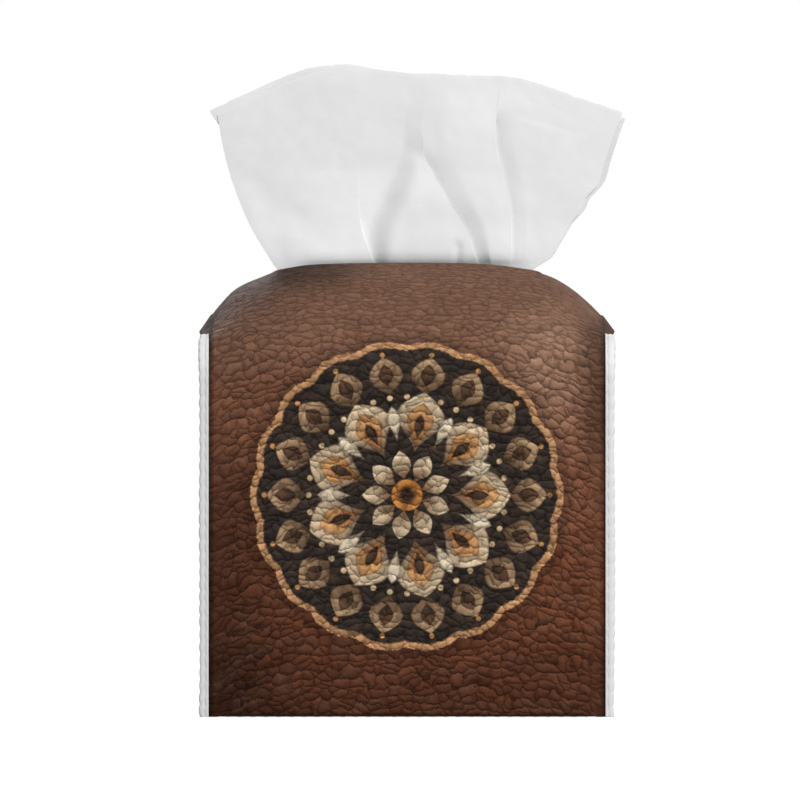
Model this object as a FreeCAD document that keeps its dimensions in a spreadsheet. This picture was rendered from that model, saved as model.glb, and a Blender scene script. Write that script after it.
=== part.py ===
import FreeCAD, Part
import math
import os
import Sketcher
from FreeCAD import Placement, Rotation, Vector

# Soft cover for a cube of tissues: a leather-look band over the front, the domed top and the
# back, two side panels with bound seams, a base flap and the tissues inside.
# Frame: origin at the middle of the base, +Z up, the front faces -Y. Millimetres.

SIZES = {
    # the cover
    "cover_width": 130.0,
    "cover_depth": 130.0,
    "shoulder_height": 126.0,
    "shoulder_radius": 12.0,
    "shoulder_camber": 2.0,
    "crown_rise": 23.5,
    "crown_rounding": 8.0,
    "crown_width_power": 4.5,
    "crown_rise_power": 1.7,
    "leather": 1.2,
    "slot_length": 90.0,
    "slot_width": 18.0,
    # bound side seams
    "seam_allowance": 2.8,
    "tape_thickness": 0.5,
    "tape_setback": 0.3,
    "thread_diameter": 0.6,
    "thread_gap": 0.05,
    # base closure
    "fold_gap": 0.15,
    "flap_clearance": 0.5,
    "flap_corner": 6.0,
    "closure_length": 100.0,
    "closure_width": 20.0,
    "hook_thickness": 1.0,
    "loop_thickness": 1.0,
    "closure_gap": 0.1,
    "closure_inset": 3.5,
    "ledge_reach": 27.0,
    "ledge_rise": 14.0,
    "ledge_bend": 2.5,
    # tissues
    "pile_side_clearance": 7.8,
    "pile_end_clearance": 9.8,
    "fold_thickness": 6.0,
    "fold_count": 18.0,
    "fold_bulge": 1.2,
    "tissue_thickness": 1.0,
    "tissue_seat": 0.3,
    "tissue_setback": 1.0,
    "neck_clearance": 2.5,
    "neck_depth": 3.0,
    "tail_taper": 4.0,
    "fan_rise": 65.3,
    "fan_left_reach": 23.0,
    "fan_right_reach": 29.0,
    "fan_corner_drop": 15.6,
}

doc = FreeCAD.newDocument("TissueBoxCover")
sheet = doc.addObject("Spreadsheet::Sheet", "Dims")
for row, (alias, number) in enumerate(SIZES.items(), start=1):
    sheet.set(f"A{row}", alias)
    sheet.set(f"B{row}", str(number))
    sheet.setAlias(f"B{row}", alias)
doc.recompute()

# Sizes that follow from the cells
HALF_WIDTH = "(Dims.cover_width / 2)"
HALF_DEPTH = "(Dims.cover_depth / 2)"
SPRING = "(Dims.shoulder_height - Dims.shoulder_radius - Dims.shoulder_camber)"
CROWN_TOP = "(Dims.shoulder_height + Dims.crown_rise)"
FLANGE_END = "(Dims.cover_width / 2 + Dims.seam_allowance)"
FLAP_TOP = "Dims.leather"
HOOK_TOP = f"({FLAP_TOP} + Dims.hook_thickness)"
LOOP_FOOT = f"({HOOK_TOP} + Dims.closure_gap)"
LEDGE_FOOT = f"({LOOP_FOOT} + Dims.loop_thickness)"
LEDGE_TOP = f"({LEDGE_FOOT} + Dims.leather)"
WALL_INSIDE = f"({HALF_DEPTH} - Dims.leather)"
PILE_TOP = f"({LEDGE_TOP} + Dims.fold_thickness * Dims.fold_count)"
PILE_HALF_WIDTH = f"({HALF_WIDTH} - Dims.leather - Dims.pile_side_clearance)"
PILE_HALF_DEPTH = f"({WALL_INSIDE} - Dims.pile_end_clearance)"
BELOW_FLOOR = "5"


def value(expression):
    """The number that an expression of the sheet's cells gives."""
    return float(sheet.evalExpression(expression))


def new_body(label):
    body = doc.addObject("PartDesign::Body", label)
    body.Label = label
    return body


def new_sketch(body, name, plane, offset="0"):
    """A sketch on one of the body's origin planes, moved along the plane's normal."""
    sketch = body.newObject("Sketcher::SketchObject", name)
    support = [item for item in body.Origin.OriginFeatures if item.Role == plane][0]
    sketch.AttachmentSupport = (support, [""])
    sketch.MapMode = "FlatFace"
    sketch.AttachmentOffset = Placement(Vector(0, 0, value(offset)), Rotation())
    sketch.setExpression("AttachmentOffset.Base.z", offset)
    return sketch


def bind(sketch, constraint, expression):
    """Adds a sketch dimension and ties it to the sheet."""
    index = sketch.addConstraint(constraint)
    sketch.setExpression(f"Constraints[{index}]", expression)


def place_point(sketch, edge, end, across, up):
    """Fixes a point by its distances from the sketch origin, each an expression."""
    for kind, axis, expression in (("DistanceX", -2, across), ("DistanceY", -1, up)):
        number = value(expression)
        if abs(number) < 1e-9:
            sketch.addConstraint(Sketcher.Constraint("PointOnObject", edge, end, axis))
        elif number > 0:
            bind(sketch, Sketcher.Constraint(kind, -1, 1, edge, end, number), expression)
        else:
            bind(sketch, Sketcher.Constraint(kind, edge, end, -1, 1, -number), f"-({expression})")


def add_polygon(sketch, corners):
    """A closed outline of straight edges through corners given as pairs of expressions."""
    points = [Vector(value(across), value(up), 0) for across, up in corners]
    edges = []
    for number, start in enumerate(points):
        end = points[(number + 1) % len(points)]
        edges.append(sketch.addGeometry(Part.LineSegment(start, end), False))
    for number, edge in enumerate(edges):
        following = edges[(number + 1) % len(edges)]
        sketch.addConstraint(Sketcher.Constraint("Coincident", edge, 2, following, 1))
    for edge, (across, up) in zip(edges, corners):
        place_point(sketch, edge, 1, across, up)
    return edges


def pad(body, sketch, name, length, reverse=False, middle=False):
    feature = body.newObject("PartDesign::Pad", name)
    feature.Profile = sketch
    feature.setExpression("Length", length)
    feature.Reversed = reverse
    feature.Midplane = middle
    doc.recompute()
    return feature


def pocket(body, sketch, name, length, reverse=False):
    """Cuts a pocket and makes sure that it took material away."""
    before = body.Shape.Volume
    feature = body.newObject("PartDesign::Pocket", name)
    feature.Profile = sketch
    feature.setExpression("Length", length)
    feature.Reversed = reverse
    doc.recompute()
    if not body.Shape.Volume < before:
        raise RuntimeError(f"{name} cut nothing")
    return feature


# The seam outline is a three-centred arch: two legs, two corner arcs and a crown arc, all tangent.
# share is how much of the crown's rise the arch has, inset how far it lies inside the outline.
def arch_sizes(share, inset):
    radius = f"(Dims.shoulder_radius + Dims.crown_rounding * {share})"
    height = f"(Dims.shoulder_radius + Dims.shoulder_camber + Dims.crown_rise * {share})"
    reach = f"({HALF_DEPTH} - {radius})"
    crown = f"(({reach}^2 + {height}^2 - {radius}^2) / (2 * ({height} - {radius})))"
    return {
        "leg": f"({HALF_DEPTH} - ({inset}))",
        "corner": f"({radius} - ({inset}))",
        "crown": f"({crown} - ({inset}))",
        "crown_centre": value(SPRING) + value(height) - value(crown),
        "corner_centre": value(reach),
    }


def add_arch(sketch, share, inset, foot):
    """Draws an arch from its left foot to its right foot; returns its five edges in that order."""
    sizes = arch_sizes(share, inset)
    leg = value(sizes["leg"])
    corner = value(sizes["corner"])
    crown = value(sizes["crown"])
    spring = value(SPRING)
    low = value(foot)
    turn = math.atan2(spring - sizes["crown_centre"], -sizes["corner_centre"])
    normal = Vector(0, 0, 1)
    left_circle = Part.Circle(Vector(-sizes["corner_centre"], spring, 0), normal, corner)
    crown_circle = Part.Circle(Vector(0, sizes["crown_centre"], 0), normal, crown)
    right_circle = Part.Circle(Vector(sizes["corner_centre"], spring, 0), normal, corner)
    left_leg = sketch.addGeometry(Part.LineSegment(Vector(-leg, low, 0), Vector(-leg, spring, 0)), False)
    left_arc = sketch.addGeometry(Part.ArcOfCircle(left_circle, turn, math.pi), False)
    top_arc = sketch.addGeometry(Part.ArcOfCircle(crown_circle, math.pi - turn, turn), False)
    right_arc = sketch.addGeometry(Part.ArcOfCircle(right_circle, 0, math.pi - turn), False)
    right_leg = sketch.addGeometry(Part.LineSegment(Vector(leg, spring, 0), Vector(leg, low, 0)), False)
    sketch.addConstraint([
        Sketcher.Constraint("Tangent", left_leg, 2, left_arc, 2),
        Sketcher.Constraint("Tangent", left_arc, 1, top_arc, 2),
        Sketcher.Constraint("Tangent", top_arc, 1, right_arc, 2),
        Sketcher.Constraint("Tangent", right_arc, 1, right_leg, 1),
    ])
    place_point(sketch, left_leg, 1, f"-{sizes['leg']}", foot)
    place_point(sketch, left_leg, 2, f"-{sizes['leg']}", SPRING)
    place_point(sketch, right_leg, 1, sizes["leg"], SPRING)
    place_point(sketch, right_leg, 2, sizes["leg"], foot)
    bind(sketch, Sketcher.Constraint("Radius", left_arc, corner), sizes["corner"])
    bind(sketch, Sketcher.Constraint("Radius", right_arc, corner), sizes["corner"])
    bind(sketch, Sketcher.Constraint("Radius", top_arc, crown), sizes["crown"])
    return [left_leg, left_arc, top_arc, right_arc, right_leg]


def join(sketch, first, second):
    """A straight edge from the end of one edge to the start of another."""
    start = sketch.getPoint(*first)
    end = sketch.getPoint(*second)
    line = sketch.addGeometry(Part.LineSegment(start, end), False)
    sketch.addConstraint(Sketcher.Constraint("Coincident", line, 1, *first))
    sketch.addConstraint(Sketcher.Constraint("Coincident", line, 2, *second))


def filled_arch(body, name, offset, share, inset, foot="0"):
    sketch = new_sketch(body, name, "YZ_Plane", offset)
    edges = add_arch(sketch, share, inset, foot)
    join(sketch, (edges[-1], 2), (edges[0], 1))
    return sketch


def arch_ring(body, name, offset, outer_inset, inner_inset):
    """The strip between two insets of the seam outline, open at the bottom."""
    sketch = new_sketch(body, name, "YZ_Plane", offset)
    outer = add_arch(sketch, "0", outer_inset, "0")
    inner = add_arch(sketch, "0", inner_inset, "0")
    join(sketch, (outer[-1], 2), (inner[-1], 2))
    join(sketch, (inner[0], 1), (outer[0], 1))
    return sketch


# The dome: arches at stations across the width, spaced by an angle along a superellipse
STATION_ANGLES = range(-90, 91, 10)


def dome_stations(half_width):
    """Pairs of (place across the width, share of the crown's rise) as expressions."""
    stations = []
    for angle in STATION_ANGLES:
        sign = -1 if angle < 0 else 1
        along = f"pow(sin({abs(angle)} deg); 2 / Dims.crown_width_power)"
        share = f"pow(cos({abs(angle)} deg); 2 / Dims.crown_rise_power)"
        if angle == 0:
            along = "0"
        if abs(angle) == 90:
            share = "0"
        stations.append((f"({sign} * {half_width} * {along})", share))
    return stations


def dome_loft(body, name, kind, half_width, inset, foot):
    sections = []
    for number, (offset, share) in enumerate(dome_stations(half_width)):
        sections.append(filled_arch(body, f"{name}_section_{number}", offset, share, inset, foot))
    doc.recompute()
    loft = body.newObject(kind, name)
    loft.Profile = sections[0]
    loft.Sections = sections[1:]
    loft.Ruled = True
    doc.recompute()
    return loft


def add_slot_outline(sketch):
    """A straight slot with round ends, centred."""
    radius = value("Dims.slot_width / 2")
    reach = value("Dims.slot_length / 2") - radius
    normal = Vector(0, 0, 1)
    right_circle = Part.Circle(Vector(reach, 0, 0), normal, radius)
    left_circle = Part.Circle(Vector(-reach, 0, 0), normal, radius)
    right = sketch.addGeometry(Part.ArcOfCircle(right_circle, -math.pi / 2, math.pi / 2), False)
    left = sketch.addGeometry(Part.ArcOfCircle(left_circle, math.pi / 2, 3 * math.pi / 2), False)
    back = sketch.addGeometry(Part.LineSegment(Vector(reach, radius, 0), Vector(-reach, radius, 0)), False)
    front = sketch.addGeometry(Part.LineSegment(Vector(-reach, -radius, 0), Vector(reach, -radius, 0)), False)
    sketch.addConstraint([
        Sketcher.Constraint("Tangent", right, 2, back, 1),
        Sketcher.Constraint("Tangent", back, 2, left, 1),
        Sketcher.Constraint("Tangent", left, 2, front, 1),
        Sketcher.Constraint("Tangent", front, 2, right, 1),
    ])
    bind(sketch, Sketcher.Constraint("Radius", right, radius), "Dims.slot_width / 2")
    place_point(sketch, right, 3, "(Dims.slot_length - Dims.slot_width) / 2", "0")
    place_point(sketch, left, 3, "-(Dims.slot_length - Dims.slot_width) / 2", "0")


def outer_band():
    """Front, domed top and back in one sheet, with seam edges that stand out at both sides."""
    body = new_body("outer_band")
    dome_loft(body, "dome", "PartDesign::AdditiveLoft", HALF_WIDTH, "0", "0")
    for side, sign in (("left", -1), ("right", 1)):
        edge = filled_arch(body, f"{side}_edge_outline", f"({sign} * {HALF_WIDTH})", "0", "0")
        pad(body, edge, f"{side}_edge", "Dims.seam_allowance", reverse=sign < 0)
    hollow_width = f"({HALF_WIDTH} - Dims.leather)"
    dome_loft(body, "hollow", "PartDesign::SubtractiveLoft", hollow_width, "Dims.leather", f"-{BELOW_FLOOR}")
    for side, sign in (("left", -1), ("right", 1)):
        offset = f"({sign} * {hollow_width})"
        mouth = filled_arch(body, f"{side}_mouth_outline", offset, "0", "Dims.leather", f"-{BELOW_FLOOR}")
        pocket(body, mouth, f"{side}_mouth", "Dims.leather + Dims.seam_allowance + 1", reverse=sign > 0)
    slot = new_sketch(body, "slot_outline", "XY_Plane")
    add_slot_outline(slot)
    pocket(body, slot, "slot", f"{CROWN_TOP} + 1", reverse=True)
    rear = new_sketch(body, "flap_fold_outline", "XY_Plane")
    left = f"-({HALF_WIDTH} - Dims.leather)"
    right = f"({HALF_WIDTH} - Dims.leather)"
    inside = f"({HALF_DEPTH} - Dims.leather - 1)"
    outside = f"({HALF_DEPTH} + 1)"
    add_polygon(rear, [(left, inside), (right, inside), (right, outside), (left, outside)])
    pocket(body, rear, "flap_fold", "Dims.leather + Dims.fold_gap", reverse=True)
    return body


def side_panel(side, sign):
    """A flat wall that fits inside the band, with its edge turned out along the seam."""
    body = new_body(f"{side}_side_panel")
    wall = filled_arch(body, "wall_outline", f"({sign} * {HALF_WIDTH})", "0", "Dims.leather")
    pad(body, wall, "wall", "Dims.leather", reverse=sign > 0)
    ring = arch_ring(body, "edge_outline", f"({sign} * {HALF_WIDTH})", "Dims.leather", "2 * Dims.leather")
    pad(body, ring, "edge", "Dims.seam_allowance", reverse=sign < 0)
    return body


def edge_binding(side, sign):
    """A tape folded round both seam edges, up the front, along the top and down the back."""
    body = new_body(f"{side}_edge_binding")
    start = f"({sign} * ({HALF_WIDTH} + Dims.tape_setback))"
    outer = arch_ring(body, "tape_outline", start, "-Dims.tape_thickness",
                      "2 * Dims.leather + Dims.tape_thickness")
    width = "Dims.seam_allowance - Dims.tape_setback + Dims.tape_thickness"
    pad(body, outer, "tape", width, reverse=sign < 0)
    inner = arch_ring(body, "fold_outline", start, "0", "2 * Dims.leather")
    pocket(body, inner, "fold", "Dims.seam_allowance - Dims.tape_setback", reverse=sign > 0)
    return body


def seam_thread(side, sign):
    """The line of sewing along the middle of the tape's outer face."""
    body = new_body(f"{side}_seam_thread")
    middle = f"({HALF_WIDTH} + (Dims.tape_setback + Dims.seam_allowance + Dims.tape_thickness) / 2)"
    low = "-(Dims.tape_thickness + Dims.thread_gap)"
    high = "-(Dims.tape_thickness + Dims.thread_gap + Dims.thread_diameter)"
    line = arch_ring(body, "seam_line", f"({sign} * {middle})", high, low)
    pad(body, line, "thread", "Dims.thread_diameter", middle=True)
    return body


def base_flap():
    """A flat flap with a round fold along the back edge, which it swings down about."""
    body = new_body("base_flap")
    sketch = new_sketch(body, "flap_profile", "YZ_Plane")
    radius = value("Dims.leather / 2")
    back = value(HALF_DEPTH) - radius
    front = -value(WALL_INSIDE) + value("Dims.flap_clearance")
    top = value("Dims.leather")
    fold_circle = Part.Circle(Vector(back, radius, 0), Vector(0, 0, 1), radius)
    fold = sketch.addGeometry(Part.ArcOfCircle(fold_circle, -math.pi / 2, math.pi / 2), False)
    upper = sketch.addGeometry(Part.LineSegment(Vector(back, top, 0), Vector(front, top, 0)), False)
    end = sketch.addGeometry(Part.LineSegment(Vector(front, top, 0), Vector(front, 0, 0)), False)
    lower = sketch.addGeometry(Part.LineSegment(Vector(front, 0, 0), Vector(back, 0, 0)), False)
    sketch.addConstraint([
        Sketcher.Constraint("Tangent", fold, 2, upper, 1),
        Sketcher.Constraint("Coincident", upper, 2, end, 1),
        Sketcher.Constraint("Coincident", end, 2, lower, 1),
        Sketcher.Constraint("Tangent", lower, 2, fold, 1),
        Sketcher.Constraint("Vertical", end),
    ])
    bind(sketch, Sketcher.Constraint("Radius", fold, radius), "Dims.leather / 2")
    place_point(sketch, fold, 3, f"{HALF_DEPTH} - Dims.leather / 2", "Dims.leather / 2")
    bind(sketch, Sketcher.Constraint("DistanceX", end, 2, -1, 1, -front), f"{WALL_INSIDE} - Dims.flap_clearance")
    width = f"2 * ({HALF_WIDTH} - Dims.leather - Dims.flap_clearance)"
    flap = pad(body, sketch, "flap", width, middle=True)
    corners = []
    for number, edge in enumerate(body.Shape.Edges, start=1):
        upright = abs(edge.BoundBox.ZLength - top) < 1e-6 and edge.BoundBox.XLength < 1e-6
        if upright and abs(edge.CenterOfMass.y - front) < 1e-6:
            corners.append(f"Edge{number}")
    rounding = body.newObject("PartDesign::Fillet", "flap_corners")
    rounding.Base = (flap, corners)
    rounding.setExpression("Radius", "Dims.flap_corner")
    doc.recompute()
    return body


def closure_ledge():
    """A strip bonded inside the front wall and bent inwards above the flap."""
    body = new_body("closure_ledge")
    sketch = new_sketch(body, "ledge_profile", "YZ_Plane")
    face = -value(WALL_INSIDE)
    foot = value(LEDGE_FOOT)
    thick = value("Dims.leather")
    bend = value("Dims.ledge_bend")
    reach = face + value("Dims.ledge_reach")
    rise = foot + value("Dims.ledge_rise")
    normal = Vector(0, 0, 1)
    centre = Vector(face + bend, foot + bend, 0)
    quarter = math.pi / 2

    def line(y1, z1, y2, z2):
        return sketch.addGeometry(Part.LineSegment(Vector(y1, z1, 0), Vector(y2, z2, 0)), False)

    def arc(radius):
        return sketch.addGeometry(Part.ArcOfCircle(Part.Circle(centre, normal, radius), 2 * quarter, 3 * quarter))

    under = line(reach, foot, face + bend, foot)
    outer = arc(bend)
    back = line(face, foot + bend, face, rise)
    top = line(face, rise, face + thick, rise)
    inside = line(face + thick, rise, face + thick, foot + bend)
    inner = arc(bend - thick)
    over = line(face + bend, foot + thick, reach, foot + thick)
    end = line(reach, foot + thick, reach, foot)
    sketch.addConstraint([
        Sketcher.Constraint("Tangent", under, 2, outer, 2),
        Sketcher.Constraint("Tangent", outer, 1, back, 1),
        Sketcher.Constraint("Coincident", back, 2, top, 1),
        Sketcher.Constraint("Coincident", top, 2, inside, 1),
        Sketcher.Constraint("Tangent", inside, 2, inner, 1),
        Sketcher.Constraint("Tangent", inner, 2, over, 1),
        Sketcher.Constraint("Coincident", over, 2, end, 1),
        Sketcher.Constraint("Coincident", end, 2, under, 1),
        Sketcher.Constraint("Coincident", inner, 3, outer, 3),
        Sketcher.Constraint("Horizontal", top),
        Sketcher.Constraint("Vertical", end),
    ])
    bind(sketch, Sketcher.Constraint("Radius", outer, bend), "Dims.ledge_bend")
    bind(sketch, Sketcher.Constraint("Radius", inner, bend - thick), "Dims.ledge_bend - Dims.leather")
    place_point(sketch, back, 2, f"-{WALL_INSIDE}", f"{LEDGE_FOOT} + Dims.ledge_rise")
    place_point(sketch, under, 1, f"-{WALL_INSIDE} + Dims.ledge_reach", LEDGE_FOOT)
    pad(body, sketch, "ledge", f"2 * ({HALF_WIDTH} - Dims.leather - Dims.flap_clearance)", middle=True)
    return body


def closure_tape(label, foot, thickness):
    """One half of the hook-and-loop closure: a flat strip across the front of the base."""
    tape = doc.addObject("Part::Box", label)
    tape.Label = label
    tape.setExpression("Length", "Dims.closure_length")
    tape.setExpression("Width", "Dims.closure_width")
    tape.setExpression("Height", thickness)
    tape.setExpression("Placement.Base.x", "-Dims.closure_length / 2")
    tape.setExpression("Placement.Base.y", f"-{WALL_INSIDE} + Dims.closure_inset")
    tape.setExpression("Placement.Base.z", foot)
    return tape


def tissue_pile():
    """Folded tissues one on another; each fold bulges a little at the front and the back."""
    body = new_body("tissue_pile")
    sketch = new_sketch(body, "fold_profile", "YZ_Plane")
    edge = f"({PILE_HALF_DEPTH} - Dims.fold_bulge)"
    half = value(edge)
    bulge = value(PILE_HALF_DEPTH)
    low = value(LEDGE_TOP)
    high = low + value("Dims.fold_thickness")
    middle = (low + high) / 2
    lower = sketch.addGeometry(Part.LineSegment(Vector(-half, low, 0), Vector(half, low, 0)), False)
    back_arc = Part.Arc(Vector(half, low, 0), Vector(bulge, middle, 0), Vector(half, high, 0))
    back = sketch.addGeometry(back_arc, False)
    upper = sketch.addGeometry(Part.LineSegment(Vector(half, high, 0), Vector(-half, high, 0)), False)
    front_arc = Part.Arc(Vector(-half, high, 0), Vector(-bulge, middle, 0), Vector(-half, low, 0))
    front = sketch.addGeometry(front_arc, False)
    sketch.addConstraint([
        Sketcher.Constraint("Coincident", lower, 2, back, 1),
        Sketcher.Constraint("Coincident", back, 2, upper, 1),
        Sketcher.Constraint("Coincident", upper, 2, front, 1),
        Sketcher.Constraint("Coincident", front, 2, lower, 1),
    ])
    place_point(sketch, lower, 1, f"-{edge}", LEDGE_TOP)
    place_point(sketch, lower, 2, edge, LEDGE_TOP)
    place_point(sketch, upper, 1, edge, f"{LEDGE_TOP} + Dims.fold_thickness")
    place_point(sketch, upper, 2, f"-{edge}", f"{LEDGE_TOP} + Dims.fold_thickness")
    radius = "((Dims.fold_thickness / 2)^2 + Dims.fold_bulge^2) / (2 * Dims.fold_bulge)"
    bind(sketch, Sketcher.Constraint("Radius", back, value(radius)), radius)
    bind(sketch, Sketcher.Constraint("Radius", front, value(radius)), radius)
    one_fold = pad(body, sketch, "one_fold", f"2 * {PILE_HALF_WIDTH}", middle=True)
    stack = body.newObject("PartDesign::LinearPattern", "stack")
    stack.Originals = [one_fold]
    stack.Direction = (sketch, ["V_Axis"])
    body.Tip = stack
    stack.setExpression("Length", "Dims.fold_thickness * (Dims.fold_count - 1)")
    stack.setExpression("Occurrences", "Dims.fold_count")
    doc.recompute()
    return body


# The standing tissue: a double sheet whose folds spread like a fan from the slot, trimmed to its outline.
# Each fold: where it ends across the sheet, and how far it stands out as a share of its own width.
# Folds stand forwards and backwards by turns, from the left.
FOLDS = [
    (0.39, 0.10),
    (0.47, 0.26),
    (0.69, 0.20),
    (0.75, 0.22),
    (0.88, 0.20),
    (1.00, 0.12),
]


FACETS_PER_FOLD = 4


def folded_section(left, right, height):
    """A closed strip at one height: each fold is a bow in flat facets, which run on from section to section."""
    width = right - left
    half = value("Dims.tissue_thickness / 2")
    line = [(left, 0.0)]
    start = 0.0
    side = -1
    for end, share in FOLDS:
        for step in range(1, FACETS_PER_FOLD + 1):
            along = step / FACETS_PER_FOLD
            bow = side * share * (end - start) * width
            line.append((left + width * (start + (end - start) * along), 4 * bow * along * (1 - along)))
        start = end
        side = -side
    middle = value("Dims.tissue_setback")
    front = [Vector(x, middle + y - half, height) for x, y in line]
    back = [Vector(x, middle + y + half, height) for x, y in reversed(line)]
    return Part.makePolygon(front + back + front[:1])


def fan_outline(neck, tail, foot, slot_level):
    """The tissue's outline seen from the front, from the tail up to the fan's free edge."""
    left = -neck - value("Dims.fan_left_reach")
    right = neck + value("Dims.fan_right_reach")
    peak = slot_level + value("Dims.fan_rise")
    corner = peak - value("Dims.fan_corner_drop")
    throat = slot_level - value("Dims.neck_depth")
    span = corner - throat
    crest = 0.3 * left
    brow = 0.46 * right
    brow_height = peak - 0.26 * value("Dims.fan_corner_drop")

    def at(x, z):
        return Vector(x, 0, z)

    edges = [
        Part.LineSegment(at(-tail, foot), at(-neck, throat)),
        Part.Arc(at(-neck, throat), at(0.37 * -neck + 0.63 * left, throat + 0.52 * span), at(left, corner)),
        Part.Arc(at(left, corner), at((left + crest) / 2, 0.25 * corner + 0.75 * peak), at(crest, peak)),
        Part.LineSegment(at(crest, peak), at(brow, brow_height)),
        Part.Arc(at(brow, brow_height), at((brow + right) / 2, 0.44 * corner + 0.56 * brow_height), at(right, corner)),
        Part.Arc(at(right, corner), at(0.37 * neck + 0.63 * right, throat + 0.52 * span), at(neck, throat)),
        Part.LineSegment(at(neck, throat), at(tail, foot)),
        Part.LineSegment(at(tail, foot), at(-tail, foot)),
    ]
    return Part.Wire([edge.toShape() for edge in edges])


def popup_tissue():
    neck = value("Dims.slot_length / 2 - Dims.neck_clearance")
    tail = neck - value("Dims.tail_taper")
    slot_level = value(CROWN_TOP)
    foot = value(PILE_TOP) + value("Dims.tissue_seat")
    peak = slot_level + value("Dims.fan_rise")
    left = neck + value("Dims.fan_left_reach")
    right = neck + value("Dims.fan_right_reach")
    spare = 8.0
    sections = [
        folded_section(-tail - spare, tail + spare, foot - spare),
        folded_section(-neck - spare, neck + spare, slot_level),
        folded_section(-left - spare, right + spare, peak + spare),
    ]
    folds = Part.makeLoft(sections, True, True)
    depth = 0.2 * (left + right)
    outline = Part.Face(fan_outline(neck, tail, foot, slot_level))
    outline.translate(Vector(0, -depth, 0))
    fan = folds.common(outline.extrude(Vector(0, 2 * depth, 0)))
    tissue = doc.addObject("Part::Feature", "popup_tissue")
    tissue.Label = "popup_tissue"
    tissue.Shape = fan.Solids[0]
    if len(fan.Solids) != 1:
        raise RuntimeError("the tissue is not one piece")
    return tissue


PIECES = [outer_band()]
for side_name, side_sign in (("left", -1), ("right", 1)):
    PIECES.append(side_panel(side_name, side_sign))
    PIECES.append(edge_binding(side_name, side_sign))
    PIECES.append(seam_thread(side_name, side_sign))
PIECES.append(closure_ledge())
PIECES.append(closure_tape("loop_tape", LOOP_FOOT, "Dims.loop_thickness"))
PIECES.append(base_flap())
PIECES.append(closure_tape("hook_tape", FLAP_TOP, "Dims.hook_thickness"))
PIECES.append(tissue_pile())
PIECES.append(popup_tissue())
doc.recompute()

# Everything is whole before it is written
for item in doc.Objects:
    if "Invalid" in item.State or "Error" in item.State:
        raise RuntimeError(f"{item.Label} did not build")
os.makedirs("parts", exist_ok=True)
for piece in PIECES:
    if piece.Shape.isNull() or not piece.Shape.isValid() or not piece.Shape.Solids:
        raise RuntimeError(f"{piece.Label} is not a sound solid")
    box = piece.Shape.BoundBox
    print(f"{piece.Label}: {len(piece.Shape.Solids)} solid, {piece.Shape.Volume:.0f} mm3, "
          f"x {box.XMin:.2f}..{box.XMax:.2f} y {box.YMin:.2f}..{box.YMax:.2f} z {box.ZMin:.2f}..{box.ZMax:.2f}")
    piece.Shape.exportStep(f"parts/{piece.Label}.step")
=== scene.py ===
import math

import bmesh
import bpy
import numpy as np
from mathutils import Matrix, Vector


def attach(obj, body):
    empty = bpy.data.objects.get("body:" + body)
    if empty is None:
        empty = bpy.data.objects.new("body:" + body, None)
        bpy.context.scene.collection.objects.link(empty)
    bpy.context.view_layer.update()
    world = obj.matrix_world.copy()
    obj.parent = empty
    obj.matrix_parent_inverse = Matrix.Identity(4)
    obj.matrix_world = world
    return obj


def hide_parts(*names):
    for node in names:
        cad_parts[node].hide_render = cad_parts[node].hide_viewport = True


# Looks of the tissue box cover. All shapes are worked out in millimetres in the CAD frame
# (front towards -Y, +Z up) and turned into metres when a mesh is made.

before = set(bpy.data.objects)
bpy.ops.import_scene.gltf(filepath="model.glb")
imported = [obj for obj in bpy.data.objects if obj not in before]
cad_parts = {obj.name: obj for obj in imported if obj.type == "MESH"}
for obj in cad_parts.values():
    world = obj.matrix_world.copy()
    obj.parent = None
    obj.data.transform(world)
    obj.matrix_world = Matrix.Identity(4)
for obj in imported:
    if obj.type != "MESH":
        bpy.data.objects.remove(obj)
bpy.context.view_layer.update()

MM = 0.001

# View: a camera far off in front, level with the middle of its picture.
VIEW_DISTANCE = 6000.0
VIEW_WIDTH = 263.3
VIEW_X = -2.3
VIEW_Z = 104.3
SENSOR = 36.0

# Cover
HALF_WIDTH = 65.0
HALF_DEPTH = 65.0
SPRING = 112.0
SHOULDER_RADIUS = 12.0
SHOULDER_RISE = 14.0
CROWN_ROUNDING = 8.0
CROWN_RISE = 23.5
LEATHER = 1.2
SLOT_HALF_LENGTH = 45.0
SLOT_HALF_WIDTH = 9.0
STITCH_PITCH = 4.2
TAPE_START = 65.3
# Distance from the ridge at which the leather's lap over the tape ends.
LAP_END = 43.0

# Tissue
FOOT_LEVEL = 113.1
NECK_LEVEL = 146.5
PLY = 0.24
PERSPECTIVE = 0.011


# Numbers and meshes

def smooth(low, high, value):
    """0 at low, 1 at high, eased between and held beyond."""
    t = np.clip((value - low) / (high - low), 0.0, 1.0)
    return t * t * (3.0 - 2.0 * t)


def noise2(u, v, seed):
    """Seeded value noise from -1 to 1 over a unit lattice."""
    size = 64
    table = np.random.default_rng(seed).uniform(-1.0, 1.0, (size, size))
    u, v = np.broadcast_arrays(np.asarray(u, float), np.asarray(v, float))
    iu, iv = np.floor(u).astype(int), np.floor(v).astype(int)
    fu, fv = smooth(0.0, 1.0, u - iu), smooth(0.0, 1.0, v - iv)
    a, b = table[iu % size, iv % size], table[(iu + 1) % size, iv % size]
    c, d = table[iu % size, (iv + 1) % size], table[(iu + 1) % size, (iv + 1) % size]
    return (a * (1 - fu) + b * fu) * (1 - fv) + (c * (1 - fu) + d * fu) * fv


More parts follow.
